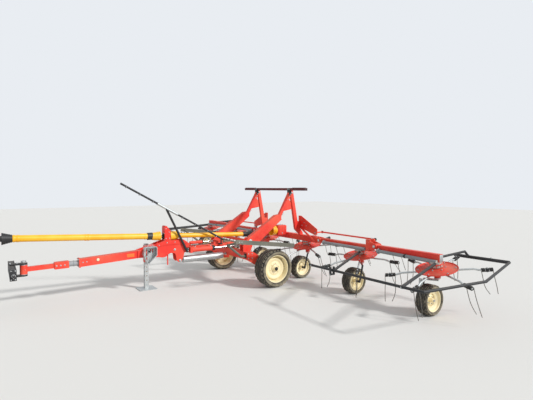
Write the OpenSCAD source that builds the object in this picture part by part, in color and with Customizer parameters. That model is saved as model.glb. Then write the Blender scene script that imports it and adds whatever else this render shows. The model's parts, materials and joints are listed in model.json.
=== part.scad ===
/* [Layout] */
// Distance from the parking foot back to the line of the rotors
foot_to_rotors = 2680; // [2600:10:2900]
// Distance from the parking foot back to the transport axle
foot_to_axle = 1755; // [1700:5:1760]
// Distance from the parking foot back to the lift pivot
foot_to_pivot = 1510; // [1440:10:1540]
// Distance from the parking foot forward to the upright hitch pin
foot_to_hitch = 1670; // [1500:10:1900]
// Height of the lift pivot above the ground
pivot_z = 720; // [690:5:760]
// Height of the drawbar's centre at the hitch
hitch_z = 520; // [480:5:580]

/* [Rotors] */
// Sideways distance between neighbouring rotors
rotor_pitch = 1280; // [1260:5:1400]
// Number of tine arms on a rotor
arm_count = 6; // [5:1:7]
// Radius of the circle that the tine tips run on
tip_r = 680; // [640:5:700]
// Radius at which the spring coils sit on the arms
coil_r = 575; // [540:5:600]
// Radius of the dish
dish_r = 260; // [220:5:280]
// Forward lean of the rotor axes, in degrees
rotor_tilt = 12; // [8:1:16]
// Height of the arms where they cross the rotor axis
arm_z = 545; // [535:1:560]
// Length of a tine below its coil
tine_drop = 355; // [300:5:365]
// Diameter of the tine wire
tine_d = 9; // [8:0.5:11]
// Diameter of the round arm
arm_d = 26; // [22:1:32]

/* [Wheels] */
// Diameter of a transport tyre
road_d = 600; // [560:10:620]
// Width of a transport tyre
road_w = 260; // [220:10:270]
// Sideways place of a transport wheel's middle
road_x = 890; // [870:5:930]
// Diameter of a rotor's ground tyre
ground_d = 390; // [380:5:400]
// Width of a rotor's ground tyre
ground_w = 160; // [140:5:170]
// Distance that a ground wheel stands ahead of its rotor's centre
ground_lead = 150; // [120:5:180]
// Radius of a ground wheel's stub axle
ground_axle_r = 12.5; // [10:0.5:15]
// Radius of a transport wheel's stub axle
road_axle_r = 25; // [20:1:30]
// Gap round an axle or a pin in its bore
run_gap = 0.3; // [0.2:0.05:0.5]

/* [Folding] */
// Sideways place of the inner wing hinge
inner_x = 1020; // [1000:5:1060]
// Height of the inner wing hinge
inner_z = 700; // [690:5:720]
// Sideways place of the outer wing hinge
outer_x = 2230; // [2200:5:2300]
// Height of the outer wing hinge
outer_z = 740; // [720:5:760]
// Radius of the hinge pins
hinge_pin_r = 15; // [12:0.5:20]
// Width of a wing's knuckle, from ear to ear
knuckle_w = 90; // [70:5:110]
// Sideways gap between a knuckle and each of its ears
ear_gap = 1; // [0.5:0.5:3]
// Thickness of the hinge ears
ear_t = 15; // [10:1:20]

/* [Lift frame] */
// Sideways place of the two lift towers
tower_x = 530; // [500:5:560]
// Width of the lift arms
arm_w = 80; // [70:5:90]
// Height of the towers' tops
apex_z = 1555; // [1500:5:1600]
// Half length of the bar that the folded wings lean on
rest_half = 970; // [900:10:980]
// Height of that bar
rest_h = 45; // [40:5:70]
// Height and depth of the centre beam
centre_h = 100; // [90:5:120]

/* [Wings] */
// Height and depth of the inner wing beam
inner_h = 80; // [70:5:100]
// Height and depth of the outer wing beam
outer_h = 100; // [90:5:110]
// Diameter of the drive tubes
drive_d = 50; // [40:2:60]
// Diameter of the guard tube
guard_d = 32; // [26:2:40]
// Height of the front guard tube
guard_z = 550; // [530:5:600]
// Distance that the front guard stands ahead of the rotors
guard_lead = 1100; // [1050:10:1150]

/* [Drawbar] */
// Height of the front drawbar box
bar_h = 110; // [90:5:130]
// Width between the neck's side plates
neck_w = 150; // [130:5:170]
// Thickness of the neck's side plates
plate_t = 14; // [10:1:18]
// Diameter of the yellow shaft guards
guard_tube_d = 90; // [85:5:100]
// Spread of the two lower link pins, middle to middle
link_spread = 825; // [683:1:965]
// Radius of a lower link pin
link_pin_r = 14; // [11:0.5:18.5]
// Diameter of the round lift cylinder
cyl_d = 80; // [70:5:90]
// Diameter of the grey stay tube
stay_d = 112; // [100:4:124]

/* [Parking stand] */
// Sideways distance of the stand from the drawbar
stand_x = 125; // [120:1:128]
// Width of the stand's square leg
leg_w = 60; // [50:5:70]
// Side of the square foot plate
foot_w = 270; // [260:10:300]

/* [Hidden] */

$fn = 48;
red = "firebrick";
dark = "dimgray";
grey = "darkgray";
cream = "cornsilk";
black = "black";
yellow = "goldenrod";

// Rotors, numbered from the machine's right to its left
function rotor_x(n) = (n - 3.5) * rotor_pitch;
function turn_sign(n) = n % 2 == 1 ? 1 : -1;
rotor_y = foot_to_rotors;
wheel_y = rotor_y - ground_lead;
gearbox_r = 75;

// A round bar from one point to another
module bar(a, b, d) {
    v = b - a;
    translate(a)
        rotate([0, acos(v[2] / norm(v)), atan2(v[1], v[0])])
            cylinder(d = d, h = norm(v));
}

// A round bar through a list of points, with ball joints at the bends
module bent_bar(points, d) {
    for (i = [0 : len(points) - 2])
        bar(points[i], points[i + 1], d);
    for (i = [1 : len(points) - 2])
        translate(points[i]) sphere(d = d + 1);
}

// A flat-sided box beam from one point to another, with w across and h in depth
module box_bar(a, b, w, h) {
    v = b - a;
    run = norm([v[0], v[1]]);
    translate(a)
        rotate([0, 0, atan2(v[1], v[0])])
            rotate([0, -atan2(v[2], run), 0])
                translate([0, -w / 2, -h / 2])
                    cube([norm(v), w, h]);
}

// A plate cut to an outline in the Y-Z plane, its middle at x
module side_plate(x, t, outline) {
    translate([x - t / 2, 0, 0])
        rotate([90, 0, 90])
            linear_extrude(t)
                polygon(outline);
}

// A round bar along X, its middle at x
module cross_pin(x, y, z, r, l) {
    translate([x - l / 2, y, z]) rotate([0, 90, 0]) cylinder(r = r, h = l);
}

// A round bar along Y, its middle at y
module long_pin(x, y, z, r, l) {
    translate([x, y - l / 2, z]) rotate([-90, 0, 0]) cylinder(r = r, h = l);
}

box_front_y = -1000;
box_back_y = -130;
bar_z = 555;
nose_y = -foot_to_hitch;
nose_r = 45;
nose_h = 130;
hitch_pin_r = 20;
rod_r = 20;
cyl_x = 100;
cyl_z = 590;
block_y = -1130;
box_w = neck_w - 2 * plate_t;

// Front drawbar: the thin nose bar, the block, the grey collar and the box with its tapered nose
module drawbar_front() {
    color(red) {
        difference() {
            union() {
                box_bar([0, nose_y, hitch_z], [0, block_y, hitch_z + 15], 60, 60);
                translate([0, nose_y, hitch_z - nose_h / 2]) cylinder(r = nose_r, h = nose_h);
            }
            translate([0, nose_y, hitch_z - nose_h])
                cylinder(r = hitch_pin_r + run_gap, h = 2 * nose_h);
        }
        box_bar([0, block_y - 180, hitch_z + 10], [0, block_y, hitch_z + 15], 90, 95);
        long_pin(0, (block_y + box_front_y) / 2, hitch_z + 17, 38, box_front_y - block_y);
        difference() {
            box_bar([0, box_front_y, hitch_z + 20], [0, box_back_y + 40, bar_z + 37], box_w, bar_h);
            translate([-box_w, box_back_y, 0]) cube([2 * box_w, 100, 2 * bar_z]);
        }
    }
}

bearing_y = 290;
shaft_r = 25;
joint_y = 400;
bearing_z = 832;
neck_top = 768;
neck_back = 640;
hook_y = 480;
hook_z = 435;
beam_y = 1430;
beam_z = 500;
beam_s = 120;
rear_bar_h = 80;
lug_y = 640;
doubler_t = 8;

// Neck: two arched side plates with the stay's hook, their webs, the rear bar and the cylinder's lug
module drawbar_neck() {
    beam_top = beam_z + beam_s / 2;
    neck = [[-190, 535], [-190, 640], [-20, 690], [60, 716], [230, neck_top], [545, neck_top],
            [neck_back, 700], [neck_back, beam_top], [565, beam_top - 5], [548, hook_z + 60],
            [hook_y + 36, hook_z - 12], [hook_y + 12, hook_z - 28], [hook_y - 18, hook_z - 26],
            [hook_y - 50, hook_z + 10], [hook_y - 60, hook_z + 90], [hook_y - 85, beam_top - 2],
            [330, beam_top + 4], [285, beam_top - 15], [255, 512], [205, 506], [120, 520], [-20, 530]];
    color(red) {
        for (side = [-1, 1])
            side_plate(side * (neck_w - plate_t) / 2, plate_t, neck);
        for (web = [[box_back_y, 548, 60, 85], [480, beam_top + 10, 60, 120], [hook_y - 12, hook_z - 18, 24, 36],
                    [288, 572, 40, 90]])
            translate([-neck_w / 2 + plate_t / 2, web[0], web[1]])
                cube([neck_w - plate_t, web[2], web[3]]);
        translate([-50, 500, beam_top]) cube([100, beam_y + beam_s / 2 - 500, rear_bar_h]);
        translate([-56, beam_y - beam_s / 2, beam_top]) cube([112, beam_s, rear_bar_h + 8]);
        translate([20, lug_y, cyl_z - 43]) cube([cyl_x + 25, 40, 90]);
        translate([-7, 300, 368]) cube([14, 16, 230]);
        for (side = [-1, 1])
            side_plate(side * (neck_w + doubler_t) / 2, doubler_t,
                [[95, 672], [95, 729], [230, neck_top], [545, neck_top], [612, 724], [612, 694], [250, 700],
                 [180, 690]]);
    }
}

arm_x = road_x - road_w / 2 - 75;
axle_z = road_d / 2;
hub_in = road_x - 60;
hub_out = road_x + 60;
ear_h = 60;

// Transport frame: the cross beam, the lift pivot's ears and pins, the wheel arms and stub axles
module axle_frame() {
    color(red) {
        translate([-arm_x, beam_y - beam_s / 2, beam_z - beam_s / 2])
            cube([2 * arm_x, beam_s, beam_s]);
        for (side = [-1, 1]) {
            for (e = [-1, 1])
                side_plate(side * tower_x + e * (arm_w / 2 + ear_gap + ear_t / 2), ear_t,
                    [[beam_y - 60, beam_z], [beam_y + 60, beam_z], [foot_to_pivot + ear_h, pivot_z - 20],
                     [foot_to_pivot + ear_h, pivot_z + 25], [foot_to_pivot + 25, pivot_z + ear_h],
                     [foot_to_pivot - 40, pivot_z + ear_h], [beam_y - 60, pivot_z - 60]]);
            cross_pin(side * tower_x, foot_to_pivot, pivot_z, hinge_pin_r,
                arm_w + 2 * ear_gap + 2 * ear_t + 20);
            side_plate(side * (arm_x + 12), 24,
                [[beam_y - 60, beam_z - 60], [beam_y - 60, beam_z + 60], [beam_y + 60, beam_z + 60],
                 [foot_to_axle + 60, axle_z + 50], [foot_to_axle + 60, axle_z - 55],
                 [foot_to_axle - 60, axle_z - 55]]);
            cross_pin(side * (arm_x + hub_out + 5) / 2, foot_to_axle, axle_z, road_axle_r,
                hub_out + 5 - arm_x);
            cross_pin(side * (arm_x + 24 + (hub_in - arm_x - 24) / 2 - 1), foot_to_axle, axle_z,
                road_axle_r + 10, hub_in - arm_x - 24 - 2);
        }
    }
}

guard_bar_x = road_x + road_w / 2 + 30;
guard_bar_z = 800;
// Dark bars over the transport wheels, each on a bent bracket from the beam's front
module wheel_guards() {
    bracket_x = arm_x - 30;
    color(dark)
        for (side = [-1, 1]) {
            box_bar([side * guard_bar_x, 960, guard_bar_z], [side * guard_bar_x, 2060, guard_bar_z - 140], 14, 60);
            bent_bar([[side * bracket_x, beam_y - beam_s / 2, beam_z], [side * bracket_x, 1290, beam_z],
                      [side * bracket_x, 1040, 700], [side * (guard_bar_x - 5), 1040, guard_bar_z - 15]], 36);
        }
}

hood_front = bearing_y - 50;
hood_back = bearing_y + 50;
// Steady bearing of the drive line in its red hood with the sloping top
module pto_bearing() {
    color(red) {
        difference() {
            side_plate(0, neck_w - 2 * plate_t,
                [[hood_front, bearing_z - 125], [hood_front, bearing_z + 150], [hood_front + 12, bearing_z + 168],
                 [hood_front + 34, bearing_z + 166], [hood_back, bearing_z + 86], [hood_back, bearing_z - 125]]);
            long_pin(0, bearing_y, bearing_z, shaft_r + run_gap, 200);
        }
    }
}

cone_wall = 4;
cone_end = 465;
// Yellow guard cone over the joint behind the hood
module pto_cone() {
    color(yellow)
        translate([0, hood_back, bearing_z])
            rotate([-90, 0, 0])
                difference() {
                    cylinder(r1 = 72, r2 = 65, h = cone_end - hood_back);
                    translate([0, 0, -1])
                        cylinder(r1 = 72 - cone_wall, r2 = 65 - cone_wall, h = cone_end - hood_back + 2);
                }
}

front_y = -1960;
front_z = 945;
tube_front = front_y + 150;
tube_end = 0;
cone_front = 60;
// Front drive shaft: yoke, yellow guard tube, black collar and yellow cone
module pto_front() {
    tube_z = bearing_z + (front_z - bearing_z) * (bearing_y - tube_end) / (bearing_y - tube_front);
    color(yellow) {
        bar([0, tube_front, front_z - 5], [0, tube_end, tube_z], guard_tube_d);
        translate([0, cone_front - 2, bearing_z + 8]) rotate([-90, 0, 0]) cylinder(r1 = 50, r2 = 66, h = 120);
    }
    color(black)
        translate([0, tube_end - 20, tube_z - 1]) rotate([-90, 0, 0]) cylinder(r = 56, h = 80);
    color(dark) {
        long_pin(0, 210, bearing_z, shaft_r, 300);
        for (e = [-1, 1])
            side_plate(e * 29, 12, [[345, bearing_z - 24], [joint_y + 24, bearing_z - 24],
                [joint_y + 24, bearing_z + 24], [345, bearing_z + 24]]);
        cross_pin(0, joint_y, bearing_z, 10, 70);
        difference() {
            union() {
                long_pin(0, front_y + 90, front_z, 30, 150);
                long_pin(0, front_y + 30, front_z, 38, 70);
            }
            long_pin(0, front_y + 30, front_z, 17.5, 90);
        }
    }
}

mid_start = 480;
boot_start = 1700;
mid_end = 2170;
mid_drop = 82;
// Rear drive shaft: stub, yellow guard tube and black boot
module pto_mid() {
    mid_d = guard_tube_d - 12;
    boot_z = bearing_z - mid_drop * (boot_start - joint_y) / (mid_end - joint_y);
    color(yellow) bar([0, mid_start, bearing_z - 4], [0, boot_start, boot_z], mid_d);
    color(black) bar([0, boot_start, boot_z], [0, mid_end, bearing_z - mid_drop], mid_d + 14);
    color(dark)
        difference() {
            union() {
                cross_pin(0, joint_y, bearing_z, 22, 44);
                long_pin(0, joint_y + 60, bearing_z - 2, 19, 100);
            }
            cross_pin(0, joint_y, bearing_z, 10 + run_gap, 50);
        }
}

post_s = 36;
boom_x = neck_w / 2 + doubler_t + post_s / 2 + 1;
boom_front = -440;
boom_front_z = 1668;
boom_back = 1250;
boom_back_z = 722;
post_y = 605;
post_z = 560;
post_top = 252;
function boom_z(y) = boom_back_z + (boom_front_z - boom_back_z) * (boom_back - y) / (boom_back - boom_front);
// Hose boom: the slanting post on its bracket and the long dark boom with its grey sleeve and foot
module hose_boom() {
    foot_top = beam_z + beam_s / 2 + rear_bar_h + 15;
    color(dark) {
        bar([boom_x, post_y, post_z], [boom_x, post_top, boom_z(post_top)], post_s);
        bar([boom_x, boom_back, boom_back_z], [boom_x, boom_front, boom_front_z], 30);
        translate([neck_w / 2, post_y - 20, post_z + 10]) cube([doubler_t + 27, 40, 60]);
        bar([boom_x, boom_back - 30, foot_top - 5], [boom_x, boom_back - 30, boom_z(boom_back - 30)], 24);
        translate([30, boom_back - 50, foot_top - 15]) cube([boom_x - 12, 40, 15]);
    }
    color(grey) bar([boom_x, 440, boom_z(440)], [boom_x, 115, boom_z(115)], 40);
}

// Galvanised wheel chock hanging on the near side of the drawbar, with its slots
module wheel_chock() {
    chock_x = neck_w / 2;
    color(grey)
        difference() {
            side_plate(chock_x + 45, 90,
                [[-125, 590], [-100, 690], [-85, 700], [70, 700], [85, 685], [85, 565], [-45, 438], [-62, 438]]);
            side_plate(chock_x + 49, 90,
                [[-117, 590], [-93, 686], [-82, 692], [65, 692], [77, 682], [77, 569], [-47, 450], [-57, 450]]);
            for (slot = [[-92, 600, 16, 56], [-62, 560, 16, 96], [-62, 490, 16, 46], [0, 600, 16, 60], [32, 600, 16, 60]])
                translate([chock_x - 1, slot[0], slot[1]]) cube([20, slot[2], slot[3]]);
        }
}

tilt_y = 700;
tilt_z = 690;
// Short red cylinder on the rear bar with its rod and both brackets
module tilt_cylinder() {
    bracket_z = beam_z + beam_s / 2 + rear_bar_h;
    color(red) {
        long_pin(-20, tilt_y + 120, tilt_z, 26, 240);
        translate([-34, tilt_y - 30, bracket_z]) cube([28, 40, tilt_z - bracket_z]);
        translate([-40, tilt_y + 420, bracket_z]) cube([60, 170, 70]);
    }
    color(grey) long_pin(-20, tilt_y + 330, tilt_z, 11, 200);
}

// Lift cylinder's barrel with its base eye
module lift_barrel() {
    color(red) {
        difference() {
            long_pin(cyl_x, 880, cyl_z, cyl_d / 2, 400);
            long_pin(cyl_x, 980, cyl_z, rod_r + run_gap, 400);
        }
    }
}

rod_eye_y = foot_to_pivot + 125;
rod_eye_r = 32;
rod_front_y = 800;
// Lift cylinder's rod with its eye
module lift_rod() {
    color(grey) {
        long_pin(cyl_x, (rod_front_y + rod_eye_y) / 2 - 10, cyl_z, rod_r, rod_eye_y - rod_front_y - 20);
        difference() {
            cross_pin(cyl_x, rod_eye_y, cyl_z, rod_eye_r, 36);
            cross_pin(cyl_x, rod_eye_y, cyl_z, 13, 50);
        }
    }
}

stay_front = 561;
stay_back = 1290;
stay_z = 432;
// Grey stay tube with the rod behind it and the fork on the hook's web in front
module stay_tube() {
    beam_front_y = beam_y - beam_s / 2;
    color(grey) {
        long_pin(0, (stay_front + stay_back) / 2, stay_z, stay_d / 2, stay_back - stay_front);
        long_pin(0, (stay_back + beam_front_y) / 2, stay_z + 20, 14, beam_front_y - stay_back);
        long_pin(0, (hook_y + 12 + stay_front) / 2, stay_z, 16, stay_front - hook_y - 12);
    }
}

leg_wall = 5;
leg_gap = 0.5;
sleeve_h = 260;
sleeve_z = 430;
// Parking stand's sleeve and its arm to the drawbar, on the far side
module stand_sleeve() {
    color(red) {
        difference() {
            translate([-stand_x, 0, sleeve_z + sleeve_h / 2])
                cube([leg_w + 2 * leg_wall, leg_w + 2 * leg_wall, sleeve_h], center = true);
            translate([-stand_x, 0, sleeve_z + sleeve_h / 2])
                cube([leg_w + 2 * leg_gap, leg_w + 2 * leg_gap, sleeve_h + 2], center = true);
        }
        translate([-stand_x + leg_w / 2 + leg_wall, -30, 570])
            cube([stand_x - leg_w / 2 - leg_wall - neck_w / 2, 60, 60]);
    }
}

foot_t = 10;
leg_top = 720;
// Parking stand's square leg with its foot plate
module stand_leg() {
    color(grey) {
        translate([-stand_x - leg_w / 2, -leg_w / 2, foot_t - 1]) cube([leg_w, leg_w, leg_top - foot_t]);
        translate([-stand_x - foot_w / 2, -foot_w / 2, 0]) cube([foot_w, foot_w, foot_t]);
    }
}

yoke_gap = 3;
yoke_t = 20;
cross_lead = 130;
// Hitch yoke: two plates on the upright pin, the cross bar and the lower link pins
module hitch_yoke() {
    cross_y = nose_y - cross_lead;
    color(dark) {
        for (z = [hitch_z - nose_h / 2 - yoke_gap - yoke_t, hitch_z + nose_h / 2 + yoke_gap])
            translate([0, 0, z])
                linear_extrude(yoke_t) {
                    translate([0, nose_y]) circle(r = nose_r);
                    translate([-nose_r, cross_y - 30]) square([2 * nose_r, cross_lead + 30]);
                }
        translate([0, nose_y, hitch_z - nose_h / 2 - yoke_gap - yoke_t])
            cylinder(r = hitch_pin_r, h = nose_h + 2 * yoke_gap + 2 * yoke_t + 25);
        translate([-link_spread / 2 + 52.5, cross_y - 35, hitch_z - nose_h / 2 - yoke_gap - 1])
            cube([link_spread - 105, 70, nose_h + 2 * yoke_gap + 2]);
        for (side = [-1, 1])
            cross_pin(side * link_spread / 2, cross_y, hitch_z, link_pin_r, 120);
    }
}

// A tyre turned about X: outer diameter, width and bead radius
module tyre(d, w, bead) {
    rotate([0, 90, 0])
        rotate_extrude()
            polygon([[bead, -w * 0.36], [bead + (d / 2 - bead) * 0.3, -w * 0.48],
                     [bead + (d / 2 - bead) * 0.6, -w / 2], [d / 2 - w * 0.12, -w * 0.46],
                     [d / 2 - w * 0.02, -w * 0.36], [d / 2, -w * 0.2], [d / 2, w * 0.2],
                     [d / 2 - w * 0.02, w * 0.36], [d / 2 - w * 0.12, w * 0.46],
                     [bead + (d / 2 - bead) * 0.6, w / 2], [bead + (d / 2 - bead) * 0.3, w * 0.48],
                     [bead, w * 0.36]]);
}

// A rim turned about X: bead radius, tyre width, disc place, hub radius, bore radius and hub ends
module rim(bead, w, disc_x, hub_r, bore_r, hub_a, hub_b) {
    t = 6;
    rotate([0, 90, 0]) {
        rotate_extrude()
            polygon([[bead - t - 0.3, -w * 0.44], [bead - 0.3, -w * 0.36], [bead - 0.3, w * 0.36],
                     [bead - t - 0.3, w * 0.44], [bead - 2 * t, w * 0.44], [bead - 2 * t, -w * 0.44]]);
        translate([0, 0, disc_x])
            difference() {
                cylinder(r = bead - t, h = 2 * t);
                translate([0, 0, -1]) cylinder(r = bore_r, h = 2 * t + 2);
            }
        difference() {
            translate([0, 0, hub_a]) cylinder(r = hub_r, h = hub_b - hub_a);
            translate([0, 0, hub_a - 1]) cylinder(r = bore_r, h = hub_b - hub_a + 2);
        }
    }
}

road_bead = road_d * 0.36;
// A transport tyre on the side given
module transport_tyre(side) {
    color(black) translate([side * road_x, foot_to_axle, axle_z]) tyre(road_d, road_w, road_bead);
}

// A transport rim with its hub, dished towards the outside
module transport_rim(side) {
    color(cream)
        translate([side * road_x, foot_to_axle, axle_z])
            mirror([side < 0 ? 1 : 0, 0, 0])
                rim(road_bead, road_w, 40, 60, road_axle_r + run_gap, hub_in - road_x, hub_out - road_x);
}

// The two outermost rotors have a galvanised leg on the inner side of their wheel, the others a dark one outside
function is_outermost(n) = n == 1 || n == 6;
function leg_side(n) = (rotor_x(n) > 0 ? 1 : -1) * (is_outermost(n) ? -1 : 1);
ground_z = ground_d / 2;
ground_bead = ground_d * 0.27;

// Ground tyre under rotor n
module ground_tyre(n) {
    color(black) translate([rotor_x(n), wheel_y, ground_z]) tyre(ground_d, ground_w, ground_bead);
}

// Ground rim under rotor n
module ground_rim(n) {
    color(cream)
        translate([rotor_x(n), wheel_y, ground_z])
            rim(ground_bead, ground_w, -6, 28, ground_axle_r + run_gap, -60, 60);
}

elbow_y = 2100;
elbow_z = 1100;
apex_y = 2375;
beam_front = rotor_y - centre_h / 2;
beam_top = inner_z + centre_h / 2;
link_x = inner_x - 65;
link_z = 830;
brace_d = 34;
brace_y = rotor_y - knuckle_w / 2 - ear_gap - ear_t - brace_d / 2 - 0.2;
// Lift arms: the two box arms from the pivots to the elbows, and the cross tube with the cylinder's lugs
module lift_arms() {
    color(red) {
        difference() {
            for (side = [-1, 1]) {
                side_plate(side * tower_x, arm_w,
                    [[foot_to_pivot - 20, pivot_z - 48], [foot_to_pivot + 140, pivot_z - 60],
                     [elbow_y + 60, elbow_z - 50], [elbow_y + 20, elbow_z + 40],
                     [elbow_y - 60, elbow_z + 30], [foot_to_pivot - 30, pivot_z + 50]]);
                cross_pin(side * tower_x, foot_to_pivot, pivot_z, 52, arm_w);
            }
            for (side = [-1, 1])
                cross_pin(side * tower_x, foot_to_pivot, pivot_z, hinge_pin_r + run_gap, arm_w + 2);
        }
        cross_pin(0, foot_to_pivot + 105, pivot_z - 32, 26, 2 * tower_x - arm_w + 2);
        for (e = [-1, 1])
            side_plate(cyl_x + e * 30, 12,
                [[rod_eye_y - 45, pivot_z - 15], [rod_eye_y + 5, pivot_z - 15],
                 [rod_eye_y + 25, cyl_z], [rod_eye_y, cyl_z - 25], [rod_eye_y - 25, cyl_z]]);
    }
}

// Lift towers: front strut, rear leg and gusset on each side, standing on the centre beam
module lift_towers() {
    color(red)
        for (side = [-1, 1]) {
            side_plate(side * tower_x, 50,
                [[elbow_y + 20, elbow_z + 40], [elbow_y + 60, elbow_z - 50], [elbow_y + 70, elbow_z + 20],
                 [apex_y + 20, apex_z - 60], [apex_y + 35, apex_z], [apex_y - 20, apex_z]]);
            side_plate(side * tower_x, 50,
                [[apex_y - 10, apex_z], [apex_y + 45, apex_z], [2540, 940], [beam_front + 20, 790],
                 [beam_front + 20, inner_z + centre_h / 2], [beam_front - 30, inner_z + centre_h / 2],
                 [2480, 860]]);
            side_plate(side * tower_x, 10,
                [[2330, 1440], [2430, 1260], [2445, 1230], [2200, 1190]]);
            plate_out = side * (inner_x - 20);
            translate([0, beam_front - 24, 0])
                rotate([90, 0, 0])
                    linear_extrude(12)
                        polygon([[side * 500, 1100], [side * 570, 1100], [plate_out, link_z + 62],
                                 [plate_out, link_z - 35], [plate_out - side * 60, link_z - 44],
                                 [side * 570, 880], [side * 500, 900]]);
            translate([side * tower_x - 25, 2470, 900]) cube([50, beam_front - 36 - 2470 + 1, 100]);
            bar([side * (tower_x - 10), brace_y, 905], [side * (inner_x - 60), brace_y, inner_z - 40], brace_d);
            long_pin(side * link_x, (beam_front - 30 + rotor_y + 55) / 2, link_z, 12,
                rotor_y + 55 - beam_front + 30);
        }
}

// Dark bar across both tower tops, for the folded wings to lean on
module wing_rest() {
    color(dark) {
        translate([-rest_half, apex_y - 30, apex_z]) cube([2 * rest_half, 60, rest_h]);
    }
}

ear_y = knuckle_w / 2 + ear_gap + ear_t / 2;
ear_r = 42;
// Two rounded ears about a hinge pin along Y, reaching back to x_root
module hinge_ears(x, z, x_root, z_low, z_high) {
    for (e = [-1, 1])
        translate([0, rotor_y + e * ear_y + ear_t / 2, 0])
            rotate([90, 0, 0])
                linear_extrude(ear_t)
                    union() {
                        translate([x, z]) circle(r = ear_r);
                        polygon([[x_root, z_low], [x, z - ear_r], [x, z + ear_r], [x_root, z_high]]);
                    }
    long_pin(x, rotor_y, z, hinge_pin_r, 2 * ear_y + ear_t + 16);
}

// Centre beam with the ears of both inner hinges
module centre_beam() {
    color(red) {
        translate([-(inner_x - 80), beam_front, inner_z - centre_h / 2])
            cube([2 * (inner_x - 80), centre_h, centre_h]);
        for (side = [-1, 1])
            hinge_ears(side * inner_x, inner_z, side * (inner_x - 150), inner_z - centre_h / 2,
                inner_z + centre_h / 2);
    }
}

// Knuckle that turns on a hinge pin
module knuckle(x, z) {
    difference() {
        children();
        long_pin(x, rotor_y, z, hinge_pin_r + run_gap, knuckle_w + 2);
    }
}

nub_z = -105;
gearbox_low = 56;
axle_r = 22;
leg_d = 28;
leg_x = ground_w / 2 + 38;
// What stands still at a rotor: gearbox, axle stub, red nub, the bent leg and the wheel's stub axle
module drive_unit(n, underside) {
    x = rotor_x(n);
    k = leg_side(n);
    color(red)
        difference() {
            union() {
                translate([x, rotor_y, arm_z])
                    rotate([rotor_tilt, 0, 0]) {
                        translate([0, 0, nub_z]) cylinder(r = axle_r, h = 170);
                        translate([0, 0, nub_z]) cylinder(r = 38, h = 55);
                    }
                gearbox(n);
            }
            translate([x - 200, rotor_y - 200, underside]) cube([400, 400, 200]);
        }
    nub_low = [x, rotor_y - nub_z * sin(rotor_tilt), arm_z + nub_z * cos(rotor_tilt)];
    color(is_outermost(n) ? grey : dark) {
        bent_bar([nub_low, nub_low + [0, 3, -22], [x + k * leg_x, wheel_y + 60, 430],
                  [x + k * leg_x, wheel_y, ground_z]], leg_d);
        cross_pin(x + k * (leg_x - 62) / 2, wheel_y, ground_z, ground_axle_r, leg_x + 62 + 20);
        cross_pin(x + k * (61 + leg_x) / 2, wheel_y, ground_z, ground_axle_r + 6, leg_x - 61 - 2);
    }
}

// Centre drive: the middle gearbox with its bell, the cross tube and both inner drive units
module centre_drive() {
    under = inner_z - centre_h / 2;
    color(red) translate([-90, beam_front - 190, 715]) cube([180, 190, 170]);
    color(yellow)
        difference() {
            translate([0, beam_front - 190, 800]) rotate([90, 0, 0]) cylinder(r1 = 75, r2 = 95, h = 110);
            translate([0, beam_front - 191, 800]) rotate([90, 0, 0]) cylinder(r1 = 70, r2 = 90, h = 110);
        }
    for (n = [3, 4]) drive_unit(n, under);
}

// Inner wing beam with its knuckle, the outer hinge's ears and the tie rod above it
module inner_beam(side) {
    half = inner_h / 2;
    root = side * (outer_x - 160);
    color(red) {
        knuckle(side * inner_x, inner_z)
            union() {
                long_pin(side * inner_x, rotor_y, inner_z, 40, knuckle_w);
                translate([side > 0 ? inner_x + 30 : -outer_x + 80, rotor_y - half, inner_z - half])
                    cube([outer_x - 80 - inner_x - 30, inner_h, inner_h]);
            }
        hinge_ears(side * outer_x, outer_z, root, inner_z - half, outer_z + 90);
        for (e = [-1, 1])
            translate([side > 0 ? outer_x - 160 : -outer_x + 85, rotor_y + (e > 0 ? half - 1 : -half - 12),
                       inner_z - half])
                cube([75, 13, outer_z + 90 - inner_z + half]);
    }
    rod_y = rotor_y + 76;
    color(dark) {
        bar([side * link_x, rod_y, link_z], [side * (outer_x - 100), rod_y, outer_z + 85], 26);
        long_pin(side * (outer_x - 100), rotor_y + 60, outer_z + 82, 14, 40);
    }
}

strut_y = rotor_y - guard_lead;
fork_x = 2440;
fork_gap = 23;
fork_t = 14;
// Inner wing's drive: the tube along the beam's front, the drive unit and the fork under the front guard
module inner_drive(side) {
    n = side > 0 ? 5 : 2;
    x = side * (inner_x + 110);
    color(grey)
        bar([x, rotor_y - inner_h / 2 - drive_d / 2, inner_z - 20],
            [side * (outer_x - 175), rotor_y - inner_h / 2 - drive_d / 2, inner_z - 20], drive_d);
    drive_unit(n, inner_z - inner_h / 2);
    color(dark) {
        bar([rotor_x(n) + side * 40, rotor_y - 60, 630],
            [side * fork_x, strut_y + fork_gap + fork_t, guard_z - 5], 34);
        difference() {
            translate([side * fork_x - 15, strut_y - fork_gap - fork_t, guard_z - 62])
                cube([30, 2 * fork_gap + 2 * fork_t, 105]);
            translate([side * fork_x - 16, strut_y - fork_gap, guard_z - 45]) cube([32, 2 * fork_gap, 105]);
        }
    }
}

// Outer wing beam with its knuckle
module outer_beam(side) {
    end_x = rotor_x(6) + 60;
    color(red)
        knuckle(side * outer_x, outer_z)
            union() {
                long_pin(side * outer_x, rotor_y, outer_z, 40, knuckle_w);
                translate([side > 0 ? outer_x + 20 : -end_x, rotor_y - 40, outer_z - 30 - outer_h / 2])
                    cube([end_x - outer_x - 20, 80, outer_h]);
            }
}

// Outer wing's drive tube, ahead of the beam
module outer_tube(side, d) {
    y = rotor_y - 40 - drive_d / 2;
    bar([side * (outer_x + 60), y, outer_z - 55], [side * (rotor_x(6) + 40), y, outer_z - 75], d);
}

// Gearbox body over rotor n
module gearbox(n) {
    translate([rotor_x(n), rotor_y, arm_z])
        rotate([rotor_tilt, 0, 0])
            translate([0, 0, gearbox_low]) cylinder(r = gearbox_r, h = 90);
}

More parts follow.
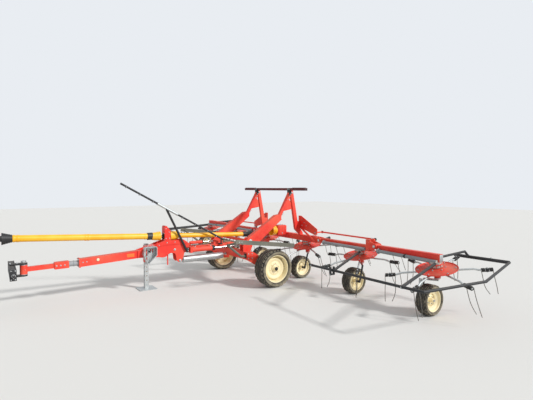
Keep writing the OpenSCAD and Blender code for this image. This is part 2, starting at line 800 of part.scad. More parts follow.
// Outer wing's drive: the tube and the drive unit
module outer_drive(side) {
    n = side > 0 ? 6 : 1;
    color(grey) outer_tube(side, drive_d);
    drive_unit(n, outer_z - 30 - outer_h / 2);
}

// Outer guard: the long tube round the wing's front and end, the thicker rear bar, and their struts
module outer_guard(side) {
    end_x = rotor_x(6) + 560;
    rear_y = rotor_y + 750;
    color(dark) {
        bent_bar([[side * 2000, strut_y, guard_z], [side * end_x, strut_y, guard_z],
                  [side * (end_x + 160), rotor_y - 200, guard_z + 20],
                  [side * (end_x - 30), rear_y, guard_z + 100]], guard_d);
        bar([side * (end_x - 30), rear_y, guard_z + 100], [side * (end_x - 760), rear_y, guard_z + 100], 45);
        difference() {
            bar([side * (rotor_x(6) + 20), rotor_y - 60, outer_z - 95],
                [side * (rotor_x(6) + 300), strut_y, guard_z], 36);
            outer_tube(side, drive_d);
            gearbox(side > 0 ? 6 : 1);
        }
        bent_bar([[side * rotor_x(6), rotor_y + 40, outer_z - 28], [side * rotor_x(6), rotor_y + 120, outer_z - 28],
                  [side * rotor_x(6), rotor_y + 650, outer_z - 8],
                  [side * rotor_x(6), rear_y, guard_z + 100]], 32);
    }
}

dish_z = 20;
hub_r = 60;
// Rotor n: hub, shallow rimmed dish and nothing below it but the arms
module rotor(n) {
    color(red)
        translate([rotor_x(n), rotor_y, arm_z])
            rotate([rotor_tilt, 0, 0])
                difference() {
                    union() {
                        rotate_extrude()
                            polygon([[axle_r, dish_z + 24], [90, dish_z + 24], [dish_r - 60, dish_z + 4],
                                     [dish_r - 12, dish_z], [dish_r, dish_z + 14], [dish_r, dish_z + 8],
                                     [dish_r - 10, dish_z - 6], [dish_r - 60, dish_z - 2], [hub_r, dish_z + 12],
                                     [hub_r, -45], [axle_r, -45]]);
                    }
                    translate([0, 0, -60]) cylinder(r = axle_r + run_gap, h = 200);
                }
}

coil_drop = 24;
first_arm = 7;
arm_bend_r = 430;
coil_half = 45;
// Arms of rotor n with their spring coils and pairs of tines
module tines(n) {
    phase = first_arm + (n % 2 == 1 ? 0 : 180 / arm_count);
    trail = 60 * turn_sign(n);
    color(grey)
        translate([rotor_x(n), rotor_y, arm_z])
            rotate([rotor_tilt, 0, 0])
                for (i = [0 : arm_count - 1])
                    rotate([0, 0, phase + i * 360 / arm_count]) {
                        bent_bar([[hub_r + run_gap, 0, -4], [arm_bend_r, 0, -4], [coil_r, 0, -coil_drop],
                                  [coil_r + coil_half + 24, 0, -coil_drop]], arm_d);
                        for (e = [-1, 1]) {
                            r = coil_r + e * coil_half;
                            bar([r - 22, 0, -coil_drop], [r + 22, 0, -coil_drop], 54);
                            bar([r, -trail / 3, -coil_drop],
                                [r + tip_r - coil_r - coil_half, -trail, -coil_drop - tine_drop + 8], tine_d);
                        }
                    }
}

drawbar_front();
drawbar_neck();
axle_frame();
wheel_guards();
pto_bearing();
pto_cone();
pto_front();
pto_mid();
hose_boom();
wheel_chock();
tilt_cylinder();
lift_barrel();
lift_rod();
stay_tube();
stand_sleeve();
stand_leg();
hitch_yoke();
transport_tyre(1);  // transport_tyre_left
transport_rim(1);  // transport_rim_left
transport_tyre(-1);  // transport_tyre_right
transport_rim(-1);  // transport_rim_right
lift_arms();
lift_towers();
wing_rest();
centre_beam();
centre_drive();
inner_beam(1);  // inner_beam_left
inner_drive(1);  // inner_drive_left
inner_beam(-1);  // inner_beam_right
inner_drive(-1);  // inner_drive_right
outer_beam(1);  // outer_beam_left
outer_drive(1);  // outer_drive_left
outer_guard(1);  // outer_guard_left
outer_beam(-1);  // outer_beam_right
outer_drive(-1);  // outer_drive_right
outer_guard(-1);  // outer_guard_right
for (n = [1 : 6]) {
    rotor(n);
    tines(n);
    ground_tyre(n);
    ground_rim(n);
}
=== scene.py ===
import bpy
import json
import math
from functools import partial
from mathutils import Matrix, Vector


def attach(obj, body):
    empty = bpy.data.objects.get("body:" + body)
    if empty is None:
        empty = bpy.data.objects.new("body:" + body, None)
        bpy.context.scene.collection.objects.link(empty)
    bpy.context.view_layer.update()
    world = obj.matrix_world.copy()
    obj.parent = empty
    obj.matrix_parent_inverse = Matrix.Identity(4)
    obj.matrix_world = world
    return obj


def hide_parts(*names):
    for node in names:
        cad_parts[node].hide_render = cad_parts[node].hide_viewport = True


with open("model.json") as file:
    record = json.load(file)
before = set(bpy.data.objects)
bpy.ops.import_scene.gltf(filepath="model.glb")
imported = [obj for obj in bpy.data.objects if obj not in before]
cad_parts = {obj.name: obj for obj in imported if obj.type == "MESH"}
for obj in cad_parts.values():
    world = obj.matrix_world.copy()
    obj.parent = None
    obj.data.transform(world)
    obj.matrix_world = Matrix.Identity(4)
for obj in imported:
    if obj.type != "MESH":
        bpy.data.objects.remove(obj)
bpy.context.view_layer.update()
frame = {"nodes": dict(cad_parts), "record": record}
nodes = frame["nodes"]

bpy.ops.object.select_all(action="DESELECT")

# Camera: standing height, off the machine's left front corner
cameraSetup = {"place": (6.17, -1.98, 1.60), "turn": 55.7, "dip": 1.72, "lens": 27.0, "sensor": 36.0}
bpy.ops.object.camera_add(
    location=cameraSetup["place"],
    rotation=(math.radians(90 - cameraSetup["dip"]), 0, math.radians(cameraSetup["turn"])),
)
camera = bpy.context.object
camera.data.lens = cameraSetup["lens"]
camera.data.sensor_width = cameraSetup["sensor"]
bpy.context.scene.camera = camera
print("camera stands")

black = (0, 0, 0, 1)
white = (1, 1, 1, 1)


def hexColour(text):  # sRGB hex to linear
    parts = [int(text[i:i + 2], 16) / 255 for i in (0, 2, 4)]
    linear = [p / 12.92 if p <= 0.04045 else ((p + 0.055) / 1.055) ** 2.4 for p in parts]
    return (*linear, 1.0)


def addNode(tree, kind, settings=None, inputs=None, links=None, stops=(), output=0):
    # Stops are for a colour ramp; what comes back is the socket that leads on
    node = tree.nodes.new("ShaderNode" + kind)
    for key, value in (settings or {}).items():
        setattr(node, key, value)
    for key, value in (inputs or {}).items():
        node.inputs[key].default_value = value
    for key, source in (links or {}).items():
        tree.links.new(source, node.inputs[key])
    for end, (place, colour) in enumerate(stops):
        node.color_ramp.elements[end].position = place
        node.color_ramp.elements[end].color = colour
    return node.outputs[output]


def newMaterial(name):
    made = bpy.data.materials.new(name)
    made.use_nodes = True
    add = partial(addNode, made.node_tree)
    return made, add, add("TexCoord", output="Object")


def closeMaterial(made, links, values):  # sockets and plain values that the surface shader takes
    tree = made.node_tree
    shader = tree.nodes["Principled BSDF"]
    for key, source in links.items():
        tree.links.new(source, shader.inputs[key])
    for key, value in values.items():
        shader.inputs[key].default_value = value
    return made


times = {"operation": "MULTIPLY"}
blend = {"data_type": "RGBA"}


def wornPaint(name, paint, faded, dust, bare, rough, metallic=0.0, chips=0.72, dusting=0.55):
    # Sprayed machine enamel: sun-faded on broad areas, dusty on what faces up, chipped to steel in specks
    made, add, place = newMaterial(name)
    spot = {"Vector": place}
    # Patches of half a metre and of a hand's width, grain of 3 cm and specks of 1 cm
    broad, patchy, fine, speck = [
        add("TexNoise", None, {"Scale": scale, "Detail": detail, "Roughness": rest}, spot)
        for scale, detail, rest in ((2.2, 5.0, 0.62), (7.0, 4.0, 0.65), (38.0, 6.0, 0.7), (85.0, 3.0, 0.5))]
    fade = add("ValToRGB", links={"Fac": broad}, stops=[(0.38, black), (0.68, white)])
    colour = add("Mix", blend, {6: hexColour(paint), 7: hexColour(faded)}, {0: fade}, output=2)
    # Dust lies on upward faces, broken up by both finer noises
    facing = add("NewGeometry", output="Normal")
    upward = add("SeparateXYZ", links={"Vector": facing}, output="Z")
    lying = add("Math", times, links={0: upward, 1: fine})
    drifted = add("Math", times, links={0: lying, 1: patchy})
    stops = [(0.17, black), (0.36, (dusting,) * 3 + (1,))]
    dusty = add("ValToRGB", links={"Fac": drifted}, stops=stops)
    chipped = add("ValToRGB", links={"Fac": speck}, stops=[(chips, black), (chips + 0.03, white)])
    # Paint rubbed through along the edges: where the softened normal leaves the face's own, in broken runs
    softened = add("Bevel", {"samples": 4}, {"Radius": 0.0025})
    dot = {"operation": "DOT_PRODUCT"}
    along = add("VectorMath", dot, links={0: softened, 1: facing}, output="Value")
    reach = {"From Min": 0.97, "From Max": 0.80, "To Max": 1.0}
    edge = add("MapRange", None, reach, {"Value": along})
    broken = add("ValToRGB", links={"Fac": fine}, stops=[(0.46, black), (0.60, (0.8, 0.8, 0.8, 1))])
    rubbed = add("Math", times, links={0: edge, 1: broken})
    for share, cover in ((dusty, dust), (chipped, bare), (rubbed, bare)):
        colour = add("Mix", blend, {7: hexColour(cover)}, {0: share, 6: colour}, output=2)
    dull = min(rough + 0.32, 0.95)
    gloss = add("MapRange", None, {"To Min": rough, "To Max": dull}, {"Value": broad})
    grain = {"Height": fine, "Normal": softened}
    bump = add("Bump", None, {"Strength": 0.12, "Distance": 0.002}, grain)
    links = {"Base Color": colour, "Roughness": gloss, "Normal": bump}
    return closeMaterial(made, links, {"Metallic": metallic})


def galvanised(name, pale, deep, scale):
    # Hot-dip galvanised steel: matt zinc with a spangle of small crystals
    made, add, place = newMaterial(name)
    spangle = add("TexVoronoi", None, {"Scale": scale}, {"Vector": place}, output="Color")
    tone = add("SeparateColor", links={"Color": spangle}, output="Red")
    cloud = add("TexNoise", None, {"Scale": 9.0, "Detail": 5.0}, {"Vector": place})
    both = add("Math", times, links={0: tone, 1: cloud})
    stops = [(0.05, hexColour(deep)), (0.5, hexColour(pale))]
    colour = add("ValToRGB", links={"Fac": both}, stops=stops)
    rough = add("MapRange", None, {"To Min": 0.38, "To Max": 0.62}, {"Value": cloud})
    softened = add("Bevel", {"samples": 4}, {"Radius": 0.0015})
    links = {"Base Color": colour, "Roughness": rough, "Normal": softened}
    return closeMaterial(made, links, {"Metallic": 0.75})


def hardChrome(name):
    # Hard-chromed cylinder rod: mirror bright with a thin film of oil and dust
    made, add, place = newMaterial(name)
    film = add("TexNoise", None, {"Scale": 30.0, "Detail": 4.0}, {"Vector": place})
    stops = [(0.3, hexColour("C9CACB")), (0.7, hexColour("9D9A94"))]
    tone = add("ValToRGB", links={"Fac": film}, stops=stops)
    rough = add("MapRange", None, {"To Min": 0.08, "To Max": 0.34}, {"Value": film})
    return closeMaterial(made, {"Base Color": tone, "Roughness": rough}, {"Metallic": 1.0})


def mouldedPlastic(name, fresh, bleached, rough):
    # Polyethylene shaft guard: waxy, bleached by the sun in patches, with a fine grain
    made, add, place = newMaterial(name)
    broad = add("TexNoise", None, {"Scale": 4.0, "Detail": 4.0}, {"Vector": place})
    stops = [(0.35, hexColour(fresh)), (0.7, hexColour(bleached))]
    tone = add("ValToRGB", links={"Fac": broad}, stops=stops)
    grain = add("TexNoise", None, {"Scale": 140.0, "Detail": 2.0}, {"Vector": place})
    bump = add("Bump", None, {"Strength": 0.15, "Distance": 0.001}, {"Height": grain})
    return closeMaterial(made, {"Base Color": tone, "Normal": bump}, {"Roughness": rough})


def tyreRubber(name):
    # Vulcanised rubber: dark grey and matt, with pale soil dust caked on the sidewalls in patches
    made, add, place = newMaterial(name)
    cloud = add("TexNoise", None, {"Scale": 14.0, "Detail": 6.0, "Roughness": 0.7}, {"Vector": place})
    stops = [(0.35, hexColour("1D1D1E")), (0.72, hexColour("4E4940"))]
    tone = add("ValToRGB", links={"Fac": cloud}, stops=stops)
    facing = add("NewGeometry", output="Normal")
    across = add("SeparateXYZ", links={"Vector": facing}, output="X")
    sideways = add("Math", {"operation": "ABSOLUTE"}, links={0: across})
    caked = add("Math", times, links={0: sideways, 1: cloud})
    stops = [(0.20, black), (0.58, (0.72, 0.72, 0.72, 1))]
    dusty = add("ValToRGB", links={"Fac": caked}, stops=stops)
    colour = add("Mix", blend, {7: hexColour("A39880")}, {0: dusty, 6: tone}, output=2)
    bump = add("Bump", None, {"Strength": 0.25, "Distance": 0.002}, {"Height": cloud})
    return closeMaterial(made, {"Base Color": colour, "Normal": bump}, {"Roughness": 0.82})


# Paint and where the sun faded it, dust, what shows through the chips, roughness
redPaint = wornPaint("RedMachineEnamel", "DE2A1C", "EA5A40", "9A8068", "5A4A42", 0.43)
darkPaint = wornPaint("BlackSatinEnamel", "17181A", "2B2C2E", "6E6357", "6A625A", 0.42, chips=0.74)
greyPaint = wornPaint("GreyTubePaint", "83878A", "9A9D9E", "8A7D6C", "4A3E36", 0.40)
# Painted shade: the rest bar's red paint darkened to maroon, as the bar looks in shade; dust and chips on it
# are real wear
shadedRedBarPaint = wornPaint("ShadedRedBarPaint", "4E161A", "6E2A2A", "8A7460", "3A2A24", 0.5)
weatheredPaint = wornPaint("WeatheredOliveEnamel", "5E5D53", "7C796C", "96907E", "4A3E34", 0.6)
creamPaint = wornPaint("CreamRimEnamel", "F0E2BA", "E2D2A4", "A08A66", "7A5A40", 0.36, dusting=0.35)
blackSpring = wornPaint("BlackSpringLacquer", "141415", "2A2826", "6B6052", "77706A", 0.38, chips=0.66)
castAlloy = wornPaint("CastAlloyHousing", "C4C2BA", "ACA9A0", "8A7A62", "8C8880", 0.48, metallic=0.5)
zincSteel = galvanised("GalvanisedSteel", "C9CCCB", "A9ADAD", 150.0)
springWire = galvanised("SpringSteelWire", "8B8780", "5A534B", 160.0)
chromeRod = hardChrome("HardChromeRod")
orangeSticker = mouldedPlastic("OrangeVinylSticker", "E8641A", "F08A4A", 0.4)
yellowGuard = mouldedPlastic("YellowPolyethyleneGuard", "EDA90E", "F2BE38", 0.42)
blackGuard = mouldedPlastic("BlackPolyethyleneBoot", "1B1B1C", "2E2D2C", 0.5)
tyreBlack = tyreRubber("VulcanisedTyreRubber")

slotMaterials = {
    "red_paint": redPaint,
    "dark_paint": darkPaint,
    "drive_grey": greyPaint,
    "galvanised": zincSteel,
    "rod_chrome": chromeRod,
    "guard_yellow": yellowGuard,
    "rim_cream": creamPaint,
    "tyre": tyreBlack,
}
slotOf = {row["node"]: row["material_slot"] for row in frame["record"]["subparts"]}
for name, thing in nodes.items():
    thing.data.materials.clear()
    thing.data.materials.append(slotMaterials[slotOf[name]])
print("finishes are on the frame")


# Working by hand: every piece starts from a primitive or a bevelled curve and ends at the origin
def startAlone():
    if bpy.context.object and bpy.context.object.mode == "EDIT":
        bpy.ops.object.mode_set(mode="OBJECT")
    bpy.ops.object.select_all(action="DESELECT")


def settle(name, material):  # the active object gets its name and finish, and its place goes into the mesh
    piece = bpy.context.object
    piece.name = name
    piece.data.name = name
    piece.data.materials.clear()
    piece.data.materials.append(material)
    bpy.ops.object.transform_apply(location=True, rotation=True, scale=True)
    return piece


def applyModifier(piece, kind, **settings):
    modifier = piece.modifiers.new(kind.lower(), kind)
    for key, value in settings.items():
        setattr(modifier, key, value)
    bpy.context.view_layer.objects.active = piece
    bpy.ops.object.modifier_apply(modifier=modifier.name)


def copyOf(piece, matrix):  # its own mesh, moved by a matrix
    twin = piece.copy()
    twin.data = piece.data.copy()
    twin.data.transform(matrix)
    bpy.context.collection.objects.link(twin)
    return twin


def joinAll(name, parts):
    startAlone()
    for part in parts:
        part.select_set(True)
    bpy.context.view_layer.objects.active = parts[0]
    if len(parts) > 1:
        bpy.ops.object.join()
    whole = bpy.context.object
    whole.name = name
    whole.data.name = name
    return whole


def smoothed(piece, degrees=35):
    startAlone()
    piece.select_set(True)
    bpy.context.view_layer.objects.active = piece
    bpy.ops.object.shade_smooth_by_angle(angle=math.radians(degrees))
    return piece


def selectFaces(piece, chosen):  # leaves the piece in edit mode, with the faces that pass the test selected
    startAlone()
    piece.select_set(True)
    bpy.context.view_layer.objects.active = piece
    bpy.ops.object.mode_set(mode="EDIT")
    bpy.ops.mesh.select_mode(type="FACE")
    bpy.ops.mesh.select_all(action="DESELECT")
    bpy.ops.object.mode_set(mode="OBJECT")
    for face in piece.data.polygons:
        face.select = chosen(face)
    bpy.ops.object.mode_set(mode="EDIT")


def discard(piece):
    bpy.data.objects.remove(piece, do_unlink=True)


def between(first, last, share):
    return Vector(first).lerp(Vector(last), share)


def ontoAxis(place, axis):  # turns a piece made along Z to lie along an axis at a place
    return Matrix.Translation(Vector(place)) @ Vector(axis).to_track_quat("Z", "Y").to_matrix().to_4x4()


def ring(count, radius, start=0.0):  # evenly spaced points on a circle
    step = math.tau / count
    return [(radius * math.cos(start + i * step), radius * math.sin(start + i * step)) for i in range(count)]


def block(name, corner, opposite, bevel, material):
    startAlone()
    centre = [(a + b) / 2 for a, b in zip(corner, opposite)]
    size = [abs(b - a) for a, b in zip(corner, opposite)]
    bpy.ops.mesh.primitive_cube_add(size=1, location=centre, scale=size)
    piece = settle(name, material)
    applyModifier(piece, "BEVEL", width=bevel, segments=2)
    return smoothed(piece)


def disc(name, place, axis, radius, length, bevel, material=zincSteel, sides=24):
    # A round or many-sided boss whose middle is at the place
    startAlone()
    bpy.ops.mesh.primitive_cylinder_add(vertices=sides, radius=radius, depth=length)
    piece = settle(name, material)
    if bevel:
        applyModifier(piece, "BEVEL", width=bevel, segments=2, limit_method="ANGLE", angle_limit=0.9)
    piece.data.transform(ontoAxis(place, axis))
    return smoothed(piece)


def hoop(name, place, axis, radius, wire, segments=(36, 8), material=zincSteel):
    startAlone()
    bpy.ops.mesh.primitive_torus_add(
        major_radius=radius, minor_radius=wire, major_segments=segments[0], minor_segments=segments[1])
    piece = settle(name, material)
    piece.data.transform(ontoAxis(place, axis))
    return piece


def pipe(name, points, radius, material, sides=4, soft=False):
    # A round wire or pipe through given points; sides is the curve's bevel resolution
    startAlone()
    bpy.ops.curve.primitive_nurbs_path_add()
    piece = bpy.context.object
    curve = piece.data
    curve.splines.clear()
    spline = curve.splines.new("BEZIER" if soft else "POLY")
    if soft:
        spline.bezier_points.add(len(points) - 1)
        for knot, point in zip(spline.bezier_points, points):
            knot.co = point
            knot.handle_left_type = "AUTO"
            knot.handle_right_type = "AUTO"
    else:
        spline.points.add(len(points) - 1)
        for knot, point in zip(spline.points, points):
            knot.co = (*point, 1)
    curve.resolution_u = 8
    curve.bevel_depth = radius
    curve.bevel_resolution = sides
    curve.use_fill_caps = True
    bpy.ops.object.convert(target="MESH")
    return smoothed(settle(name, material), 50)


def lathe(name, profile, place, axis, material, steps=48, angle=40):
    # profile is a list of (radius, distance along the axis), spun once round
    startAlone()
    bpy.ops.mesh.primitive_plane_add(size=0.01, location=(profile[0][0], 0, profile[0][1]))
    bpy.ops.object.transform_apply(location=True)
    bpy.ops.object.mode_set(mode="EDIT")
    bpy.ops.mesh.select_mode(type="VERT")
    bpy.ops.mesh.merge(type="CENTER")
    for before, after in zip(profile, profile[1:]):
        bpy.ops.mesh.extrude_region_move(
            TRANSFORM_OT_translate={"value": (after[0] - before[0], 0, after[1] - before[1])})
    bpy.ops.mesh.select_all(action="SELECT")
    bpy.ops.mesh.spin(steps=steps, angle=math.tau, center=(0, 0, 0), axis=(0, 0, 1))
    bpy.ops.mesh.select_all(action="SELECT")
    bpy.ops.mesh.remove_doubles(threshold=0.0001)
    bpy.ops.mesh.normals_make_consistent(inside=False)
    bpy.ops.object.mode_set(mode="OBJECT")
    piece = settle(name, material)
    piece.data.transform(ontoAxis(place, axis))
    return smoothed(piece, angle)


def mirrored(half):  # a profile that is the same on both sides of its middle, from one half of it
    return half + [(radius, -along) for radius, along in reversed(half)]


def bolts(places, axis, size, material=zincSteel):
    # Hexagon heads on washers: modelled once, then copied to each place
    upright = (0, 0, 1)
    pattern = joinAll("bolt", [
        disc("washer", (0, 0, size * 0.1), upright, size * 1.05, size * 0.2, 0, material, 20),
        disc("head", (0, 0, size * 0.55), upright, size * 0.85, size * 0.7, size * 0.08, material, 6),
        disc("shank", (0, 0, size * 1.0), upright, size * 0.45, size * 0.5, size * 0.06, material, 12)])
    copies = [copyOf(pattern, ontoAxis(place, axis)) for place in places]
    discard(pattern)
    return joinAll("bolts", copies)


def pinHead(place, axis, radius):
    # A hinge pin's end: washer, chamfered head and a split pin through it
    head = Vector(place) + Vector(axis) * 0.007
    across = Vector(axis).orthogonal().normalized() * radius * 1.25
    return joinAll("pinHead", [
        disc("washer", place, axis, radius * 1.45, 0.004, 0.0006, sides=28),
        disc("pin", head, axis, radius * 0.98, 0.014, 0.002),
        pipe("splitPin", [head - across, head + across], 0.002, zincSteel, 1)])


def show(name, parts, body, standsFor=()):  # the finished piece rides on its body
    piece = joinAll(name, parts)
    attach(piece, body)
    if standsFor:
        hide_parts(*standsFor)


# Sizes that the pieces share with the frame
layout = {
    "rotorPitch": 1.28,
    "rotorLine": 2.68,
    "armHeight": 0.545,
    "lean": math.radians(12),
    "wheelLine": 2.53,
    "wheelRadius": 0.195,
    "roadX": 0.89,
    "roadY": 1.755,
    "roadRadius": 0.30,
}
carrier = {1: "outer_wing_right", 2: "inner_wing_right", 3: "lift_frame", 4: "lift_frame",
           5: "inner_wing_left", 6: "outer_wing_left"}


def rotorX(number):
    return (number - 3.5) * layout["rotorPitch"]


def rotorPlace(number):  # from the upright to a rotor's leaning shaft
    place = Matrix.Translation((rotorX(number), layout["rotorLine"], layout["armHeight"]))
    return place @ Matrix.Rotation(layout["lean"], 4, "X")


# Wheels
tyreSizes = {
    "road": {"radius": 0.30, "width": 0.26, "bead": 0.216, "block": 0.010, "steps": 84},
    "ground": {"radius": 0.195, "width": 0.16, "bead": 0.138, "block": 0.006, "steps": 66},
}


def treadedTyre(place, sizes):
    radius = sizes["radius"]
    bead = sizes["bead"]
    half = sizes["width"] / 2
    base = radius - sizes["block"]
    top = radius - sizes["block"] * 0.03
    wall = radius - bead
    side = [(bead, 0.70), (bead + wall * 0.06, 0.80), (bead + wall * 0.28, 0.955), (bead + wall * 0.50, 0.995),
            (bead + wall * 0.70, 0.975), (base - wall * 0.13, 0.90), (base - wall * 0.03, 0.80)]
    # Two long ribs and a middle one between grooves; the shoulders are left flat for the lugs
    tread = [(base, 0.62), (base, 0.54), (top, 0.52), (top, 0.32), (base, 0.30), (base, 0.22), (top, 0.20)]
    section = mirrored([(r, -half * share) for r, share in side + tread])
    tyre = lathe("casing", section, place, (1, 0, 0), tyreBlack, sizes["steps"], 30)
    centre = Vector(place)

    def isLug(face):  # two steps of each shoulder stand up and the third stays down as a notch
        out = face.center - centre
        reach = math.hypot(out.y, out.z)
        turn = math.atan2(out.z, out.y) / math.tau * sizes["steps"]
        shoulder = 0.62 < abs(out.x) / half < 0.80 and base - 0.004 < reach < base + 0.003
        return shoulder and math.floor(turn + 0.25) % 3 > 0

    selectFaces(tyre, isLug)
    bpy.ops.mesh.inset(thickness=0.0024, depth=sizes["block"] * 0.97)
    bpy.ops.object.mode_set(mode="OBJECT")
    # Three fine rings stand out on each sidewall
    rings = []
    for share in (0.36, 0.44, 0.60):
        for way in (-1, 1):
            seat = centre + Vector((way * half * 0.972, 0, 0))
            rings.append(hoop("ring", seat, (1, 0, 0), bead + wall * share, 0.0022, (64, 6), tyreBlack))
    return smoothed(joinAll("tyre", [tyre] + rings), 32)


def roadRim(side):
    centre = Vector((side * layout["roadX"], layout["roadY"], layout["roadRadius"]))
    out = (side, 0, 0)
    barrel = [(0.2225, -0.103), (0.2155, -0.099), (0.2095, -0.090), (0.207, -0.062), (0.191, -0.048),
              (0.191, 0.020), (0.207, 0.046), (0.2095, 0.088), (0.2155, 0.099), (0.2225, 0.103),
              (0.2185, 0.106), (0.210, 0.103), (0.2035, 0.090), (0.201, 0.050), (0.185, 0.024),
              (0.185, -0.048), (0.201, -0.064), (0.2035, -0.092), (0.210, -0.103), (0.2185, -0.106),
              (0.2225, -0.103)]
    pressed = [(0.1855, 0.022), (0.178, 0.040), (0.164, 0.050), (0.148, 0.050), (0.136, 0.040), (0.112, 0.035),
               (0.104, 0.041), (0.066, 0.041), (0.066, 0.034), (0.102, 0.033), (0.111, 0.028),
               (0.138, 0.032), (0.150, 0.043), (0.162, 0.043), (0.172, 0.035), (0.1855, 0.012)]
    hub = [(0.0262, -0.058), (0.055, -0.058), (0.058, -0.050), (0.058, 0.046), (0.052, 0.054), (0.040, 0.060),
           (0.036, 0.080), (0.030, 0.088), (0.001, 0.090)]
    cap = [(0.0305, 0.086), (0.0305, 0.091), (0.026, 0.098), (0.014, 0.101), (0.001, 0.102)]
    nuts = [centre + Vector((side * 0.041, y, z)) for y, z in ring(6, 0.084, 0.3)]
    return [
        lathe("barrel", barrel, centre, out, creamPaint, 64),
        lathe("pressedDisc", pressed, centre, out, creamPaint, 64),
        lathe("hub", hub, centre, out, creamPaint, 40),
        lathe("hubCap", cap, centre, out, darkPaint, 32),
        bolts(nuts, out, 0.009, creamPaint),
        disc("valve", centre + Vector((side * 0.060, 0.118, 0.143)), (side, 0.25, 0.3), 0.004, 0.034, 0.0008,
             tyreBlack, 16)]


def groundRim(number):
    centre = Vector((rotorX(number), layout["wheelLine"], layout["wheelRadius"]))
    across = (1, 0, 0)
    barrel = [(0.086, 0.020), (0.099, 0.027), (0.099, 0.031), (0.081, 0.022)]
    flange = [(0.101, 0.026), (0.112, 0.028), (0.1310, 0.036), (0.1335, 0.052), (0.1375, 0.060),
              (0.1445, 0.0635), (0.1415, 0.0665), (0.1335, 0.064), (0.1295, 0.054), (0.1265, 0.041),
              (0.108, 0.033), (0.0965, 0.031)]
    web = [(0.0815, 0.006), (0.070, 0.006), (0.062, 0.012), (0.050, 0.012), (0.044, 0.006), (0.026, 0.006),
           (0.026, -0.006), (0.044, -0.006), (0.050, 0.000), (0.062, 0.000), (0.070, -0.006), (0.0815, -0.006)]
    hub = [(0.0129, -0.059), (0.024, -0.059), (0.027, -0.055)]
    parts = [
        lathe("barrel", mirrored(barrel) + barrel[:1], centre, across, creamPaint),
        lathe("flange", mirrored(flange) + flange[:1], centre, across, creamPaint, 56),
        lathe("web", web, centre, across, creamPaint),
        lathe("hub", mirrored(hub), centre, across, creamPaint, 32)]
    for side, seat in ((-1, -0.0075), (1, 0.013)):
        places = [centre + Vector((seat, y, z)) for y, z in ring(4, 0.056, 0.5)]
        parts.append(bolts(places, (side, 0, 0), 0.008))
    return parts


for side, word in ((1, "left"), (-1, "right")):
    place = (side * layout["roadX"], layout["roadY"], layout["roadRadius"])
    tyre = treadedTyre(place, tyreSizes["road"])
    body = f"transport_wheel_{word}"
    show(f"roadTyre{word.title()}", [tyre], body, [f"transport_tyre_{word}"])
    show(f"roadRim{word.title()}", roadRim(side), body, [f"transport_rim_{word}"])

groundPattern = treadedTyre((0, layout["wheelLine"], layout["wheelRadius"]), tyreSizes["ground"])
for number in range(1, 7):
    tyre = copyOf(groundPattern, Matrix.Translation((rotorX(number), 0, 0)))
    body = f"ground_wheel_{number}"
    show(f"groundTyre{number}", [tyre], body, [f"ground_tyre_{number}"])
    show(f"groundRim{number}", groundRim(number), body, [f"ground_rim_{number}"])
discard(groundPattern)
print("wheels are on")

# Rotors
rotorSizes = {
    "arms": 6,
    "firstArm": math.radians(7),
    "armRadius": 0.0125,
    "bend": 0.43,
    "coilPlace": 0.575,
    "coilHalf": 0.045,
    "coilDrop": 0.024,
    "coilRadius": 0.0215,
    "wire": 0.0042,
    "turns": 5,
    "coilLength": 0.040,
    "tineDrop": 0.371,
    "tineReach": 0.060,
    "trail": 0.060,
}


def rotorMatrix(number, arm=0):  # neighbouring rotors are half an arm's step apart
    half = math.pi / rotorSizes["arms"]
    turn = rotorSizes["firstArm"] + (0 if number % 2 else half) + arm * 2 * half
    return rotorPlace(number) @ Matrix.Rotation(turn, 4, "Z")


def springCoil(centre):
    # A circle of wire wound round the arm with the screw modifier
    turns = rotorSizes["turns"]
    length = rotorSizes["coilLength"]
    startAlone()
    bpy.ops.mesh.primitive_circle_add(
        vertices=6, radius=rotorSizes["wire"], location=(0, rotorSizes["coilRadius"], 0))
    bpy.ops.object.transform_apply(location=True)
    coil = bpy.context.object
    applyModifier(coil, "SCREW", axis="X", angle=math.tau * turns, steps=14 * turns, screw_offset=length,
                  use_smooth_shade=True)
    bpy.ops.object.mode_set(mode="EDIT")
    bpy.ops.mesh.select_all(action="SELECT")
    bpy.ops.mesh.fill_holes(sides=0)
    bpy.ops.mesh.normals_make_consistent(inside=False)
    bpy.ops.object.mode_set(mode="OBJECT")
    settle("coil", blackSpring)
    coil.data.transform(Matrix.Translation((centre - length / 2, 0, -rotorSizes["coilDrop"])))
    return smoothed(coil, 60)


def tineArm(way):
    # One arm along X with its clamp, its two coils and their tines; way is the side that the tines trail to
    low = -rotorSizes["coilDrop"]
    middle = rotorSizes["coilPlace"]
    wire = rotorSizes["wire"]
    arm = [(0.064, 0, -0.004), (0.40, 0, -0.004), (rotorSizes["bend"], 0, -0.0055), (middle - 0.08, 0, low),
           (middle + rotorSizes["coilHalf"] + 0.022, 0, low)]
    clamp = [(middle + end * 0.019, end * 0.019, low + end * 0.021) for end in (-1, 1)]
    parts = [
        pipe("arm", arm, rotorSizes["armRadius"], zincSteel, 5),
        block("clamp", *clamp, 0.004, darkPaint),
        bolts([(middle, 0, low + 0.021)], (0, 0, 1), 0.010),
        bolts([(middle, 0, low - 0.021)], (0, 0, -1), 0.009)]
    for end in (-1, 1):
        centre = middle + end * rotorSizes["coilHalf"]
        start = centre + end * rotorSizes["coilLength"] / 2
        edge = -way * rotorSizes["coilRadius"]
        foot = (centre + rotorSizes["tineReach"], -way * rotorSizes["trail"], -rotorSizes["tineDrop"])
        tine = [(start, edge, low + 0.004), (start + 0.012, edge - way * 0.006, low - 0.11),
                (start + 0.030, edge - way * 0.020, low - 0.24), foot]
        parts += [springCoil(centre), pipe("tine", tine, wire, springWire, 2, soft=True)]
    # The bridge between both coils is held under the clamp
    inner = rotorSizes["coilHalf"] - rotorSizes["coilLength"] / 2
    bridge = [(middle - inner, 0, low - 0.0215), (middle, 0, low - 0.0245), (middle + inner, 0, low - 0.0215)]
    return joinAll("tineArm", parts + [pipe("bridge", bridge, wire, blackSpring, 2, soft=True)])


